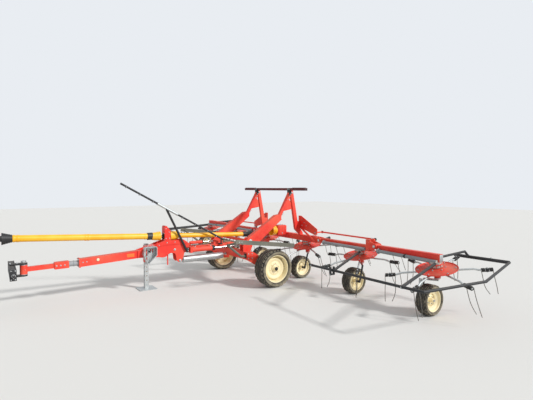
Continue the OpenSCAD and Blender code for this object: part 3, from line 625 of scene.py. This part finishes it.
def dish():
    # Pressed dish with a rolled lip, its hub, and for each arm two bolts and a cast socket under the dish
    upright = (0, 0, 1)
    shell = [(0.024, 0.046), (0.060, 0.046), (0.092, 0.043), (0.120, 0.034), (0.132, 0.033), (0.146, 0.027),
             (0.200, 0.0245), (0.236, 0.0225), (0.250, 0.0245), (0.2570, 0.033), (0.2595, 0.0335),
             (0.2595, 0.0285), (0.2535, 0.019), (0.246, 0.0165), (0.200, 0.0185), (0.144, 0.021),
             (0.118, 0.028), (0.090, 0.037), (0.058, 0.040), (0.024, 0.040)]
    hub = [(0.0225, 0.0425), (0.058, 0.0425), (0.0598, 0.030), (0.0598, -0.030), (0.052, -0.040),
           (0.050, -0.0448), (0.0225, -0.0448)]
    parts = [lathe("shell", shell, (0, 0, 0), upright, redPaint, 64),
             lathe("hub", hub, (0, 0, 0), upright, redPaint, 40)]
    for x, y in ring(rotorSizes["arms"], 1.0):
        socket = [(x * reach, y * reach, -0.004) for reach in (0.055, 0.130, 0.150)]
        lug = block("lug", (-0.014, -0.012, 0), (0.014, 0.012, 0.024), 0.003, redPaint)
        turned = Matrix.Rotation(math.atan2(y, x), 4, "Z")
        lug.data.transform(Matrix.Translation((x * 0.224, y * 0.224, -0.001)) @ turned)
        parts += [
            bolts([(x * 0.108, y * 0.108, 0.0395), (x * 0.224, y * 0.224, 0.0245)], upright, 0.0095),
            pipe("socket", socket, 0.0215, redPaint, 5), lug]
    return joinAll("dish", parts)


armPatterns = {way: tineArm(way) for way in (-1, 1)}
dishPattern = dish()
for number in range(1, 7):
    body = f"rotor_{number}"
    pattern = armPatterns[1 if number % 2 else -1]
    arms = [copyOf(pattern, rotorMatrix(number, arm)) for arm in range(rotorSizes["arms"])]
    show(f"tineArms{number}", arms, body, [f"tines_{number}"])
    plate = copyOf(dishPattern, rotorMatrix(number))
    show(f"rotorDish{number}", [plate], body, [f"rotor_{number}"])
for pattern in (*armPatterns.values(), dishPattern):
    discard(pattern)
print("rotors are on")


# Where the frame's own nodes change finish
def repaint(name, material, chosen):  # the faces whose middle passes the test take another finish
    thing = nodes[name]
    thing.data.materials.append(material)
    for face in thing.data.polygons:
        if chosen(face.center):
            face.material_index = len(thing.data.materials) - 1


def fromAxis(number, point):  # height along the leaning rotor axis and distance from it
    own = rotorPlace(number).inverted() @ point
    return own.z, math.hypot(own.x, own.y)


def isHousing(number, point):
    height, reach = fromAxis(number, point)
    return -0.1052 < height < 0.16 and reach < 0.0765


def isLeg(number, point):
    return abs(point.x - rotorX(number)) < 0.16 and point.z < 0.447 and not isHousing(number, point)


for name, numbers in (("outer_drive_left", (6,)), ("inner_drive_left", (5,)), ("centre_drive", (3, 4)),
                      ("inner_drive_right", (2,)), ("outer_drive_right", (1,))):
    for number in numbers:
        if name != "centre_drive":
            repaint(name, redPaint, lambda point: isHousing(number, point))
        legPaint = zincSteel if number in (1, 6) else darkPaint
        repaint(name, legPaint, lambda point: isLeg(number, point))
        repaint(name, castAlloy, lambda point: isHousing(number, point) and fromAxis(number, point)[0] > 0.05)

boomSlope = {"y": 1.25, "z": 0.722, "rise": 0.5598}


def boomHeight(y):  # height of the boom's middle line
    return boomSlope["z"] + (boomSlope["y"] - y) * boomSlope["rise"]


for name in ("inner_drive_left", "inner_drive_right"):
    repaint(name, darkPaint, lambda point: point.y < 2.56 and point.z < 0.625)
repaint("centre_drive", yellowGuard, lambda point: point.y < 2.438 and point.z > 0.70)
repaint("wheel_guards", weatheredPaint, lambda point: point.y > 0.95)
# Painted shade: most of the rest bar takes the red paint darkened to maroon, as it looks in shade
repaint("wing_rest", shadedRedBarPaint, lambda point: point.x > -0.96)
repaint("drawbar_front", greyPaint, lambda point: -1.129 < point.y < -1.001 and abs(point.x) < 0.039)
repaint("pto_front", darkPaint, lambda point: point.y < -1.812 or point.y > 0.185)
repaint("pto_front", blackGuard, lambda point: (
    -0.021 < point.y < 0.0605 and math.hypot(point.x, point.z - 0.848) > 0.0465))
repaint("pto_mid", blackGuard, lambda point: point.y > 1.701)
repaint("pto_mid", darkPaint, lambda point: point.y < 0.47)
repaint("tilt_cylinder", chromeRod, lambda point: 0.941 < point.y < 1.119 and point.z > 0.67)
repaint("hose_boom", zincSteel, lambda point: (
    0.10 < point.y < 0.45 and abs(point.z - boomHeight(point.y)) < 0.03 and point.z > 1.10))
print("frame nodes have their second finishes")


# Drive line
driveLine = {
    "front": (0, -1.81, 0.940),
    "back": (0, 0.0, 0.8462),
    "frontRadius": 0.045,
    "midFront": (0, 0.48, 0.828),
    "midBack": (0, 1.70, 0.7718),
    "midRadius": 0.039,
    "bearingZ": 0.832,
    "coneWall": 0.003,
}


def tubeRings(first, last, radius, shares):
    axis = (Vector(last) - Vector(first)).normalized()
    profile = mirrored([(radius - 0.003, -0.016), (radius + 0.0022, -0.014), (radius + 0.0034, -0.006)])
    return [lathe("ring", profile, between(first, last, share), axis, yellowGuard, 40) for share in shares]


def ribbedCone(place, axis, radii, length, ribs, material):
    # A guard cone with its ribs, open at both ends
    small, large = radii
    outer = []
    for step in range(ribs * 4 + 1):
        share = step / (ribs * 4)
        lift = 0.0025 if step % 4 in (1, 2) else 0.0
        outer.append((small + (large - small) * share + lift, length * share))
    inner = [(r - driveLine["coneWall"], z) for r, z in reversed(outer)]
    return lathe("cone", outer + inner + outer[:1], place, axis, material, 48, 30)


frontShares = (0.02, 0.045, 0.5, 0.52, 0.97)
parts = tubeRings(driveLine["front"], driveLine["back"], driveLine["frontRadius"], frontShares)
show("frontShaftRings", parts, "chassis")
midShares = (0.03, 0.48, 0.52, 0.96)
parts = tubeRings(driveLine["midFront"], driveLine["midBack"], driveLine["midRadius"], midShares)
show("rearShaftRings", parts, "pto_mid")
for name, body, place, axis, radii, length, ribs, material in (
        ("frontBell", "chassis", (0, -1.79, 0.940), (0, -1, 0.02), (0.047, 0.078), 0.12, 5, blackGuard),
        ("hoodFrontCone", "chassis", (0, 0.05, 0.8405), (0, 1, 0), (0.054, 0.0705), 0.135, 6, yellowGuard),
        ("hoodBackCone", "chassis", (0, 0.4655, 0.832), (0, -1, 0), (0.066, 0.0735), 0.122, 5, yellowGuard),
        ("bootRibs", "pto_mid", (0, 1.72, 0.7708), (0, 1, -0.047), (0.0475, 0.053), 0.42, 12, blackGuard),
        ("bellRibs", "lift_frame", (0, 2.44, 0.80), (0, -1, 0), (0.0775, 0.0965), 0.108, 4, yellowGuard)):
    show(name, [ribbedCone(place, axis, radii, length, ribs, material)], body)

# Yoke at the tractor end: lock collar, two cheeks and the caps of the cross
centre = Vector((0, -1.845, 0.945))
collar = [(0.0385, -0.012), (0.0425, -0.009), (0.0435, 0.0), (0.0425, 0.009), (0.0385, 0.012)]
parts = [lathe("lockCollar", collar, (0, -1.935, 0.945), (0, 1, 0), zincSteel, 40)]
for side in (-1, 1):
    parts += [
        disc("cheek", centre + Vector((side * 0.036, 0, 0)), (1, 0, 0), 0.027, 0.014, 0.003, darkPaint, 28),
        disc("cap", centre + Vector((side * 0.045, 0, 0)), (1, 0, 0), 0.014, 0.006, 0.001),
        disc("crossCap", centre + Vector((0, 0.012, side * 0.033)), (0, 0, 1), 0.014, 0.02, 0.001)]
show("frontYoke", parts, "chassis")

# Steady bearing on the hood's front, and the bolts of both sides
bearing = [(0.027, 0), (0.050, 0), (0.052, 0.004), (0.044, 0.010), (0.034, 0.014), (0.027, 0.014)]
seats = [(x, 0.2398, driveLine["bearingZ"] + z) for x in (-0.048, 0.048) for z in (-0.05, 0.05)]
parts = [lathe("bearing", bearing, (0, 0.2402, driveLine["bearingZ"]), (0, -1, 0), darkPaint, 40),
         bolts(seats, (0, -1, 0), 0.009)]
for side in (-1, 1):
    seats = [(side * 0.0612, y, z) for y, z in ((0.262, 0.80), (0.262, 0.955), (0.318, 0.80), (0.312, 0.90))]
    parts.append(bolts(seats, (side, 0, 0), 0.008))
show("hoodFittings", parts, "chassis")
print("drive line is dressed")

# Drawbar: flange where the box meets the collar, the collar's rings and the bolts along both sides
drawbar = {"half": 0.061, "neckHalf": 0.0832, "nose": -1.67, "collarRings": (-1.128, -1.066, -1.006)}
parts = [
    block("boxFlange", (-0.068, -1.004, 0.475), (0.068, -0.984, 0.604), 0.003, redPaint),
    bolts([(x, -1.0042, z) for x in (-0.056, 0.056) for z in (0.488, 0.591)], (0, -1, 0), 0.009)]
collar = [(0.036, -0.007), (0.0415, -0.006), (0.043, 0), (0.0415, 0.006), (0.036, 0.007)]
for y in drawbar["collarRings"]:
    parts.append(lathe("collarRing", collar, (0, y, 0.537), (0, 1, 0), greyPaint, 40))
for side in (-1, 1):
    out = (side, 0, 0)
    neck = ((0.14, 0.703), (0.27, 0.735), (0.40, 0.735), (0.53, 0.735))
    parts += [
        bolts([(side * 0.045, y, 0.531) for y in (-1.285, -1.235, -1.185)], out, 0.0095),
        bolts([(side * drawbar["half"], y, 0.545 + (y + 1) * 0.06) for y in (-0.955, -0.905)], out, 0.0085),
        bolts([(side * drawbar["neckHalf"], y, z) for y, z in neck], out, 0.0085),
        # The pin that the stay hangs on and a second one in the neck's side plates
        pinHead((side * 0.0752, 0.488, 0.432), out, 0.015),
        pinHead((side * 0.0752, 0.40, 0.615), out, 0.013)]
# Seal rings of the upright bush at the nose, and its grease nipple
for z in (0.457, 0.583):
    bush = mirrored([(0.040, -0.004), (0.0475, -0.003)])
    parts.append(lathe("bushRing", bush, (0, drawbar["nose"], z), (0, 0, 1), zincSteel, 40))
parts.append(pipe("greaseNipple", [(0.044, -1.66, 0.52), (0.056, -1.655, 0.52)], 0.004, zincSteel, 2))
show("drawbarFittings", parts, "chassis")

# Plain orange patch on the box's near side, where the photo shows an orange sticker
sticker = block("sticker", (0.0606, -0.345, 0.5585), (0.0617, -0.235, 0.6105), 0.0004, orangeSticker)
show("sideSticker", [sticker], "chassis")

# Round pale reflector in its cup on the box's near side
lens = [(0.001, 0.0065), (0.010, 0.006), (0.018, 0.003), (0.0185, -0.002)]
show("reflector", [
    disc("cup", (0.064, -0.755, 0.567), (1, 0, 0), 0.022, 0.008, 0.0015, sides=32),
    lathe("lens", lens, (0.0665, -0.755, 0.567), (1, 0, 0), creamPaint, 32)], "chassis")

# Hitch yoke: the bush's nut on top, and for each side the link pin with its end plate, bolts and ribs
linkPin = {"shoulderX": 0.358, "linchX": 0.462, "plateX": 0.3662, "y": -1.80, "z": 0.52}
shoulder = [(0.0145, -0.006), (0.026, -0.006), (0.028, -0.003), (0.028, 0.004), (0.0145, 0.006)]
parts = [
    disc("pinNut", (0, drawbar["nose"], 0.6275), (0, 0, 1), 0.032, 0.020, 0.003, sides=6),
    disc("pinWasher", (0, drawbar["nose"], 0.612), (0, 0, 1), 0.036, 0.006, 0.001, sides=32)]
for side in (-1, 1):
    out = (side, 0, 0)
    plateX = side * linkPin["plateX"]
    linchX = side * linkPin["linchX"]
    near = (side * linkPin["shoulderX"], linkPin["y"], linkPin["z"])
    parts += [
        lathe("shoulder", shoulder, near, out, darkPaint, 36),
        disc("linchPin", (linchX, linkPin["y"], linkPin["z"]), (0, 0, 1), 0.005, 0.046, 0.001, sides=14),
        hoop("linchRing", (linchX, linkPin["y"], 0.530), (1, 0, 0.2), 0.019, 0.0022),
        bolts([(side * 0.025, y, 0.6085) for y in (-1.745, -1.82)], (0, 0, 1), 0.009),
        block("endPlate", (side * 0.3602, -1.8375, 0.4495), (plateX, -1.7625, 0.5905), 0.0015, darkPaint),
        bolts([(plateX, y, z) for y in (-1.822, -1.778) for z in (0.465, 0.575)], out, 0.007)]
    for y in (-1.8345, -1.7735):
        corners = [(side * 0.06, y, 0.5862), (side * 0.35, y + 0.008, 0.5975)]
        parts.append(block("topRib", *corners, 0.0012, darkPaint))
show("hitchFittings", parts, "hitch_yoke")

# Wheel chock: carrying handle over the top, the holder's strap and its bolt
handle = [(0.122, -0.05, 0.698), (0.122, -0.05, 0.725), (0.122, 0.03, 0.725), (0.122, 0.03, 0.698)]
show("chockFittings", [
    pipe("handle", handle, 0.005, zincSteel, 3),
    block("strap", (0.072, -0.030, 0.612), (0.171, 0.000, 0.630), 0.002, darkPaint),
    bolts([(0.171, -0.015, 0.621)], (1, 0, 0), 0.010)], "chassis")

# Parking stand: rows of holes down the leg, drawn as flat black discs of painted shade for the dark inside
# each hole
stand = {"x": -0.125, "face": 0.0301, "firstHole": 0.14, "pitch": 0.07, "holes": 8, "holeRadius": 0.0095}
parts = []
for step in range(stand["holes"]):
    z = stand["firstHole"] + stand["pitch"] * step
    for x, y in ((-1, 0), (0, -1), (1, 0), (0, 1)):
        place = (stand["x"] + x * stand["face"], y * stand["face"], z)
        parts.append(disc("hole", place, (abs(x), abs(y), 0), stand["holeRadius"], 0.0006, 0, tyreBlack))
show("standHoleShade", parts, "stand_leg")

# Locking pin with its ring, and the sleeve's bolts
show("sleeveFittings", [
    disc("lockPin", (-0.125, -0.047, 0.62), (0, 1, 0), 0.0085, 0.028, 0.001, sides=20),
    hoop("pinRing", (-0.125, -0.062, 0.600), (1, 0.2, 0), 0.022, 0.0025),
    bolts([(-0.146, -0.0352, z) for z in (0.46, 0.66)], (0, -1, 0), 0.007)], "chassis")

# Grey stay tube: rolled end caps, two bands, and lock nuts on the rod
stay = {"caps": ((0.561, -1), (1.290, 1)), "bands": (0.72, 1.13), "nuts": (1.305, 1.361), "z": 0.432}
cap = [(0.001, 0.006), (0.020, 0.006), (0.046, 0.004), (0.0565, 0.000), (0.0575, -0.008), (0.0562, -0.016)]
band = mirrored([(0.0558, -0.014), (0.0580, -0.012)])
parts = [lathe("endCap", cap, (0, y, stay["z"]), (0, way, 0), zincSteel) for y, way in stay["caps"]]
parts += [lathe("band", band, (0, y, stay["z"]), (0, 1, 0), zincSteel) for y in stay["bands"]]
parts += [disc("lockNut", (0, y, 0.452), (0, 1, 0), 0.024, 0.016, 0.002, sides=6) for y in stay["nuts"]]
show("stayFittings", parts, "chassis")

# Lift cylinder: gland, end cap, ports and the steel pipes that lead to the rear bar
gland = [(0.0205, 0.012), (0.030, 0.012), (0.036, 0.008), (0.0425, 0.006), (0.0425, -0.038), (0.0402, -0.042)]
cap = [(0.0402, 0.04), (0.0425, 0.037), (0.0425, 0.000), (0.0402, -0.002)]
rearPipe = [(0.1, 1.02, 0.64), (0.1, 1.02, 0.662), (0.088, 0.99, 0.668), (0.062, 0.94, 0.664),
            (0.057, 0.70, 0.662), (0.057, 0.66, 0.662)]
frontPipe = [(0.1, 0.735, 0.64), (0.1, 0.735, 0.658), (0.085, 0.715, 0.662), (0.045, 0.69, 0.660),
             (0.040, 0.66, 0.660)]
parts = [
    lathe("gland", gland, (0.1, 1.08, 0.59), (0, 1, 0), darkPaint),
    lathe("baseCap", cap, (0.1, 0.684, 0.59), (0, 1, 0), redPaint)]
parts += [disc("port", (0.1, y, 0.636), (0, 0, 1), 0.012, 0.018, 0.002, sides=6) for y in (0.735, 1.02)]
parts += [pipe("oilPipe", line, 0.0055, darkPaint, 3, soft=True) for line in (rearPipe, frontPipe)]
show("liftCylinderFittings", parts, "chassis")

# Short red cylinder: gland, ports and the pin of its eye
gland = [(0.0115, 0.008), (0.020, 0.008), (0.028, 0.004), (0.028, -0.02), (0.0262, -0.022)]
parts = [lathe("gland", gland, (-0.02, 0.94, 0.69), (0, 1, 0), darkPaint, 36),
         pinHead((0.0, 1.10, 0.69), (1, 0, 0), 0.012)]
parts += [disc("port", (-0.02, y, 0.722), (0, 0, 1), 0.009, 0.014, 0.002, sides=6) for y in (0.74, 0.90)]
show("tiltFittings", parts, "chassis")
print("drawbar is dressed")

# Lift frame and wings
hinge = {"pinEnd": 0.069, "radius": 0.015, "inner": (1.02, 0.70), "outer": (2.23, 0.74)}
tower = {"x": 0.53, "face": 0.0255}


def hingePins(side, place):  # both ends of a hinge pin that lies along the machine
    return [pinHead((side * place[0], layout["rotorLine"] + way * hinge["pinEnd"], place[1]), (0, way, 0),
                    hinge["radius"]) for way in (-1, 1)]


parts = []
for side in (-1, 1):
    parts += hingePins(side, hinge["inner"])
    # Bolts and the apex pin on both faces of the tower
    for face in (-1, 1):
        x = side * tower["x"] + face * tower["face"]
        seats = [(x, y, z) for y, z in ((2.185, 1.135), (2.205, 1.165), (2.31, 1.40), (2.335, 1.455))]
        parts += [bolts(seats, (face, 0, 0), 0.009), pinHead((x, 2.392, 1.515), (face, 0, 0), 0.014)]
    seats = [(side * x, 2.5938, z) for x, z in ((0.60, 1.03), (0.66, 0.98), (0.60, 0.93), (0.72, 0.93))]
    parts += [bolts(seats, (0, -1, 0), 0.009), pinHead((side * 0.955, 2.600, 0.83), (0, -1, 0), 0.012)]
    # Bolted plate on top of the centre beam
    x = side * 0.80
    parts += [
        block("beamPlate", (x - 0.05, 2.625, 0.7505), (x + 0.05, 2.735, 0.7565), 0.002, redPaint),
        bolts([(x + dx, y, 0.7565) for dx in (-0.036, 0.036) for y in (2.645, 2.715)], (0, 0, 1), 0.008)]
# Middle gearbox: cover with its bolts, two plugs and the ribs of both sides
parts += [
    block("boxCover", (-0.082, 2.448, 0.8852), (0.082, 2.622, 0.8945), 0.003, redPaint),
    bolts([(x, y, 0.8945) for x in (-0.068, 0, 0.068) for y in (2.463, 2.607)], (0, 0, 1), 0.008),
    disc("fillerPlug", (0.03, 2.53, 0.8975), (0, 0, 1), 0.016, 0.012, 0.002, sides=6),
    disc("drainPlug", (0.0905, 2.53, 0.745), (1, 0, 0), 0.012, 0.008, 0.001, sides=6)]
for x in (-0.0908, 0.0908):
    for y in (2.475, 2.535, 2.595):
        parts.append(block("rib", (x, y - 0.004, 0.725), (x * 1.04, y + 0.004, 0.875), 0.0015, redPaint))
show("liftDetails", parts, "lift_frame")

# Lift arms: ends of the pivot pins, a weld bead along each face and the pin of the cylinder's rod
parts = []
for side in (-1, 1):
    for face in (-1, 1):
        x = side * tower["x"]
        place = Vector((x + face * 0.0562, 1.51, 0.72))
        bead = [(x + face * 0.0402, y, z) for y, z in ((1.60, 0.742), (1.85, 0.905), (2.10, 1.068))]
        parts += [
            disc("pivotWasher", place, (1, 0, 0), 0.034, 0.004, 0.001, sides=32),
            disc("pivotNut", place + Vector((face * 0.0095, 0, 0)), (1, 0, 0), 0.0225, 0.0145, 0.002, sides=6),
            pipe("weldBead", bead, 0.003, redPaint, 2)]
parts += [pinHead((0.1 + way * 0.0362, 1.635, 0.59), (way, 0, 0), 0.013) for way in (-1, 1)]
show("liftArmDetails", parts, "lift_frame")

# Rest bar: for each side the dark hook bracket that holds it to the tower, a rubber pad and the bar's end cap
parts = []
for side in (-1, 1):
    x = side * tower["x"]
    parts.append(block("hook", (x - 0.034, 2.3335, 1.470), (x + 0.034, 2.3435, 1.590), 0.002, darkPaint))
    for face in (-1, 1):
        near = x + face * 0.0262
        far = x + face * 0.034
        parts.append(block("hookCheek", (near, 2.3435, 1.470), (far, 2.372, 1.553), 0.0015, darkPaint))
    pad = side * 0.78
    parts += [
        disc("hookPin", (x, 2.352, 1.492), (1, 0, 0), 0.009, 0.084, 0.001, sides=20),
        block("pad", (pad - 0.16, 2.3505, 1.6002), (pad + 0.16, 2.3995, 1.6065), 0.002, blackGuard),
        bolts([(x + dx, 2.3333, 1.578) for dx in (-0.02, 0.02)], (0, -1, 0), 0.009),
        disc("endCap", (side * 0.9695, 2.375, 1.5775), (1, 0, 0), 0.019, 0.0012, 0.0003, blackGuard)]
show("restDetails", parts, "lift_frame")


def gearbox(number):
    # Flange with its bolts and ribs, and the seal ring of the low nub
    parts = [
        disc("flange", (0, 0, 0.098), (0, 0, 1), 0.0855, 0.012, 0.0015, redPaint, 48),
        bolts([(x, y, 0.104) for x, y in ring(8, 0.0795, 0.2)], (0, 0, 1), 0.0062)]
    for x, y in ring(8, 0.0752, 0.6):
        rib = block("rib", (0.0735, -0.003, 0.060), (0.0815, 0.003, 0.092), 0.001, redPaint)
        rib.data.transform(Matrix.Rotation(math.atan2(y, x), 4, "Z"))
        parts.append(rib)
    seal = mirrored([(0.0375, -0.006), (0.0415, -0.005)])
    parts.append(lathe("sealRing", seal, (0, 0, -0.094), (0, 0, 1), zincSteel, 40))
    whole = joinAll("gearbox", parts)
    whole.data.transform(rotorPlace(number))
    return whole


for number in range(1, 7):
    show(f"gearboxDetails{number}", [gearbox(number)], carrier[number])


def tubeFlange(first, last, radius=0.025, share=0.03):
    axis = (Vector(last) - Vector(first)).normalized()
    place = between(first, last, share)
    profile = mirrored([(radius - 0.001, -0.006), (radius + 0.0135, -0.006), (radius + 0.0145, -0.005)])
    turned = ontoAxis(place, axis)
    seats = [turned @ Vector((x, y, 0.006)) for x, y in ring(4, radius + 0.007, 0.8)]
    return [lathe("flange", profile, place, axis, greyPaint, 40), bolts(seats, axis, 0.0052)]


for side, word in ((1, "Left"), (-1, "Right")):
    inner = f"inner_wing_{word.lower()}"
    outer = f"outer_wing_{word.lower()}"
    flange = tubeFlange((side * 1.13, 2.615, 0.68), (side * 2.055, 2.615, 0.68))
    show(f"innerTubeFlanges{word}", flange, inner)
    # Eyes of the tie rod over the wing, and the lock nut at its outer end
    parts = hingePins(side, hinge["outer"])
    for x, z in ((0.955, 0.83), (2.13, 0.825)):
        parts.append(disc("eye", (side * x, 2.760, z), (0, 1, 0), 0.022, 0.022, 0.002, darkPaint, 32))
    parts += [
        disc("lockNut", (side * 2.075, 2.756, 0.8254), (side, 0, -0.004), 0.021, 0.016, 0.002, sides=6),
        bolts([(side * x, 2.6278, z) for x in (2.09, 2.12) for z in (0.69, 0.79)], (0, -1, 0), 0.0085),
        bolts([(side * x, 2.7202, 0.70) for x in (1.20, 1.55, 1.90)], (0, 1, 0), 0.0085)]
    show(f"innerWingDetails{word}", parts, inner)
    # Fork under the front guard: the bolt through both of its cheeks
    fork = [bolts([(side * 2.44, 1.58 + way * 0.0372, 0.500)], (0, way, 0), 0.009) for way in (-1, 1)]
    show(f"forkDetails{word}", fork, inner)
    flange = tubeFlange((side * 2.29, 2.615, 0.685), (side * 3.24, 2.615, 0.665))
    show(f"outerTubeFlanges{word}", flange, outer)
    # Outer wing: the beam's end cap and bolts, the guard's clamps and end cap, and the drive tube's hanger
    parts = [
        block("endCap", (side * 3.2602, 2.644, 0.664), (side * 3.2632, 2.716, 0.756), 0.001, zincSteel),
        bolts([(side * x, 2.7202, 0.71) for x in (2.45, 2.80, 3.10)], (0, 1, 0), 0.0085)]
    for x in (2.44, 3.50, 2.05):
        clamp = mirrored([(0.0158, -0.016), (0.0182, -0.015)])
        parts += [
            lathe("clamp", clamp, (side * x, 1.58, 0.55), (1, 0, 0), darkPaint, 32),
            bolts([(side * x, 1.562, 0.55)], (0, -1, 0), 0.007)]
    hanger = mirrored([(0.0248, -0.014), (0.0285, -0.013)])
    cap = [(0.001, 0.004), (0.012, 0.004), (0.0165, 0.001), (0.0168, -0.014), (0.0158, -0.015)]
    parts += [
        lathe("hanger", hanger, (side * 2.77, 2.615, 0.675), (side, 0, -0.02), darkPaint, 40),
        lathe("tubeCap", cap, (side * 1.999, 1.58, 0.55), (-side, 0, 0), blackGuard, 32),
        bolts([(side * x, 3.43, 0.6728) for x in (3.20, 3.50)], (0, 0, 1), 0.009)]
    show(f"outerWingDetails{word}", parts, outer)

for number, x in ((1, rotorX(1) + 0.118), (6, rotorX(6) - 0.118)):
    # The outermost wheels' legs carry a broad galvanised plate, folded back along both edges
    startAlone()
    bpy.ops.mesh.primitive_cube_add(size=1, location=(x, 2.5235, 0.365), scale=(0.062, 0.005, 0.155))
    plate = settle("plate", zincSteel)
    selectFaces(plate, lambda face: abs(face.normal.x) > 0.9)
    bpy.ops.mesh.extrude_region_move(TRANSFORM_OT_translate={"value": (0, 0.016, 0)})
    bpy.ops.object.mode_set(mode="OBJECT")
    applyModifier(plate, "BEVEL", width=0.0012, segments=2, limit_method="ANGLE", angle_limit=0.6)
    screws = bolts([(x, 2.5208, z) for z in (0.31, 0.42)], (0, -1, 0), 0.009)
    show(f"legShield{number}", [smoothed(plate), screws], carrier[number])
print("lift frame and wings are dressed")

# Transport frame: bolts of the wheel arms and ears, the stub axles' shoulders and the cross beam's end plates
shoulder = mirrored([(0.034, -0.006), (0.046, -0.006), (0.048, -0.003)])
parts = []
for side in (-1, 1):
    stub = (side * 0.716, layout["roadY"], layout["roadRadius"])
    parts += [
        bolts([(side * 0.7092, y, z) for y in (1.395, 1.465) for z in (0.465, 0.535)], (side, 0, 0), 0.010),
        lathe("shoulder", shoulder, stub, (1, 0, 0), redPaint, 40),
        block("beamEnd", (side * 0.684, 1.375, 0.445), (side * 0.6855, 1.485, 0.555), 0.0006, darkPaint)]
    for face in (-1, 1):
        seats = [(side * tower["x"] + face * 0.0562, y, 0.515) for y in (1.40, 1.46)]
        parts.append(bolts(seats, (face, 0, 0), 0.010))
show("axleDetails", parts, "chassis")

# Dark bars over the transport wheels: bracket bolts, the folded lip along the top and the plate at the foot
wheelGuard = {"x": 1.05, "lipFront": (0.965, 0.8295), "lipBack": (2.055, 0.6905), "footX": 0.655}
parts = []
for side in (-1, 1):
    x = side * wheelGuard["x"]
    foot = side * wheelGuard["footX"]
    seats = [(x + side * 0.0072, y, 0.80 - (y - 0.96) * 0.1273) for y in (1.02, 1.06)]
    lip = [(x, *wheelGuard["lipFront"]), (x, *wheelGuard["lipBack"])]
    parts += [
        bolts(seats, (side, 0, 0), 0.009),
        pipe("lip", lip, 0.005, weatheredPaint, 2),
        block("foot", (foot - 0.032, 1.362, 0.462), (foot + 0.032, 1.3695, 0.538), 0.002, darkPaint)]
show("wheelGuardDetails", parts, "chassis")

# Hose boom: rings for the hoses under it, the collars of its grey sleeve, and the bolts of post and foot
boom = {"x": 0.102, "along": (0, -0.873, 0.488), "rings": (-0.36, -0.16, 0.04, 0.52, 0.74, 0.96, 1.12)}
collar = mirrored([(0.0195, -0.008), (0.0222, -0.006)])
parts = [hoop("hoseRing", (boom["x"], y, boomHeight(y) - 0.006), boom["along"], 0.0225, 0.003, (32, 8))
         for y in boom["rings"]]
parts += [lathe("collar", collar, (boom["x"], y, boomHeight(y)), boom["along"], zincSteel, 32)
          for y in (0.118, 0.437)]
parts += [
    bolts([(0.1302, 0.605, z) for z in (0.585, 0.615)], (1, 0, 0), 0.008),
    bolts([(0.045, y, 0.6505) for y in (1.212, 1.228)], (0, 0, 1), 0.006)]
show("boomDetails", parts, "chassis")
print("transport frame is dressed")

# Floor, sky and sun
studio = {"floor": "D9D7D2", "size": 60.0, "sun": 3.0, "sunSize": math.radians(6), "sky": 0.75}
bpy.ops.mesh.primitive_plane_add(size=studio["size"], location=(0, 0, 0))
floor = bpy.context.object
floor.name = "studioFloor"
floorMaterial = newMaterial("PaleStudioFloor")[0]
closeMaterial(floorMaterial, {}, {"Base Color": hexColour(studio["floor"]), "Roughness": 0.9})
floor.data.materials.append(floorMaterial)

world = bpy.data.worlds.new("paleSky")
bpy.context.scene.world = world
world.use_nodes = True
skyTree = world.node_tree
background = skyTree.nodes["Background"]
background.inputs["Color"].default_value = hexColour("E9EDF2")
# The sky shows at full strength to the camera and in reflections, and lights the machine with less
seen = addNode(skyTree, "LightPath", output="Is Camera Ray")
mirrorRay = seen.node.outputs["Is Glossy Ray"]
direct = addNode(skyTree, "Math", {"operation": "MAXIMUM"}, links={0: seen, 1: mirrorRay})
level = addNode(skyTree, "MapRange", None, {"To Min": studio["sky"], "To Max": 1.0}, {"Value": direct})
skyTree.links.new(level, background.inputs["Strength"])

bpy.ops.object.light_add(type="SUN", rotation=(math.radians(57), 0, math.radians(120)))
sun = bpy.context.object
sun.data.energy = studio["sun"]
sun.data.angle = studio["sunSize"]
print("studio is lit")

bpy.context.scene.view_settings.view_transform = "Standard"
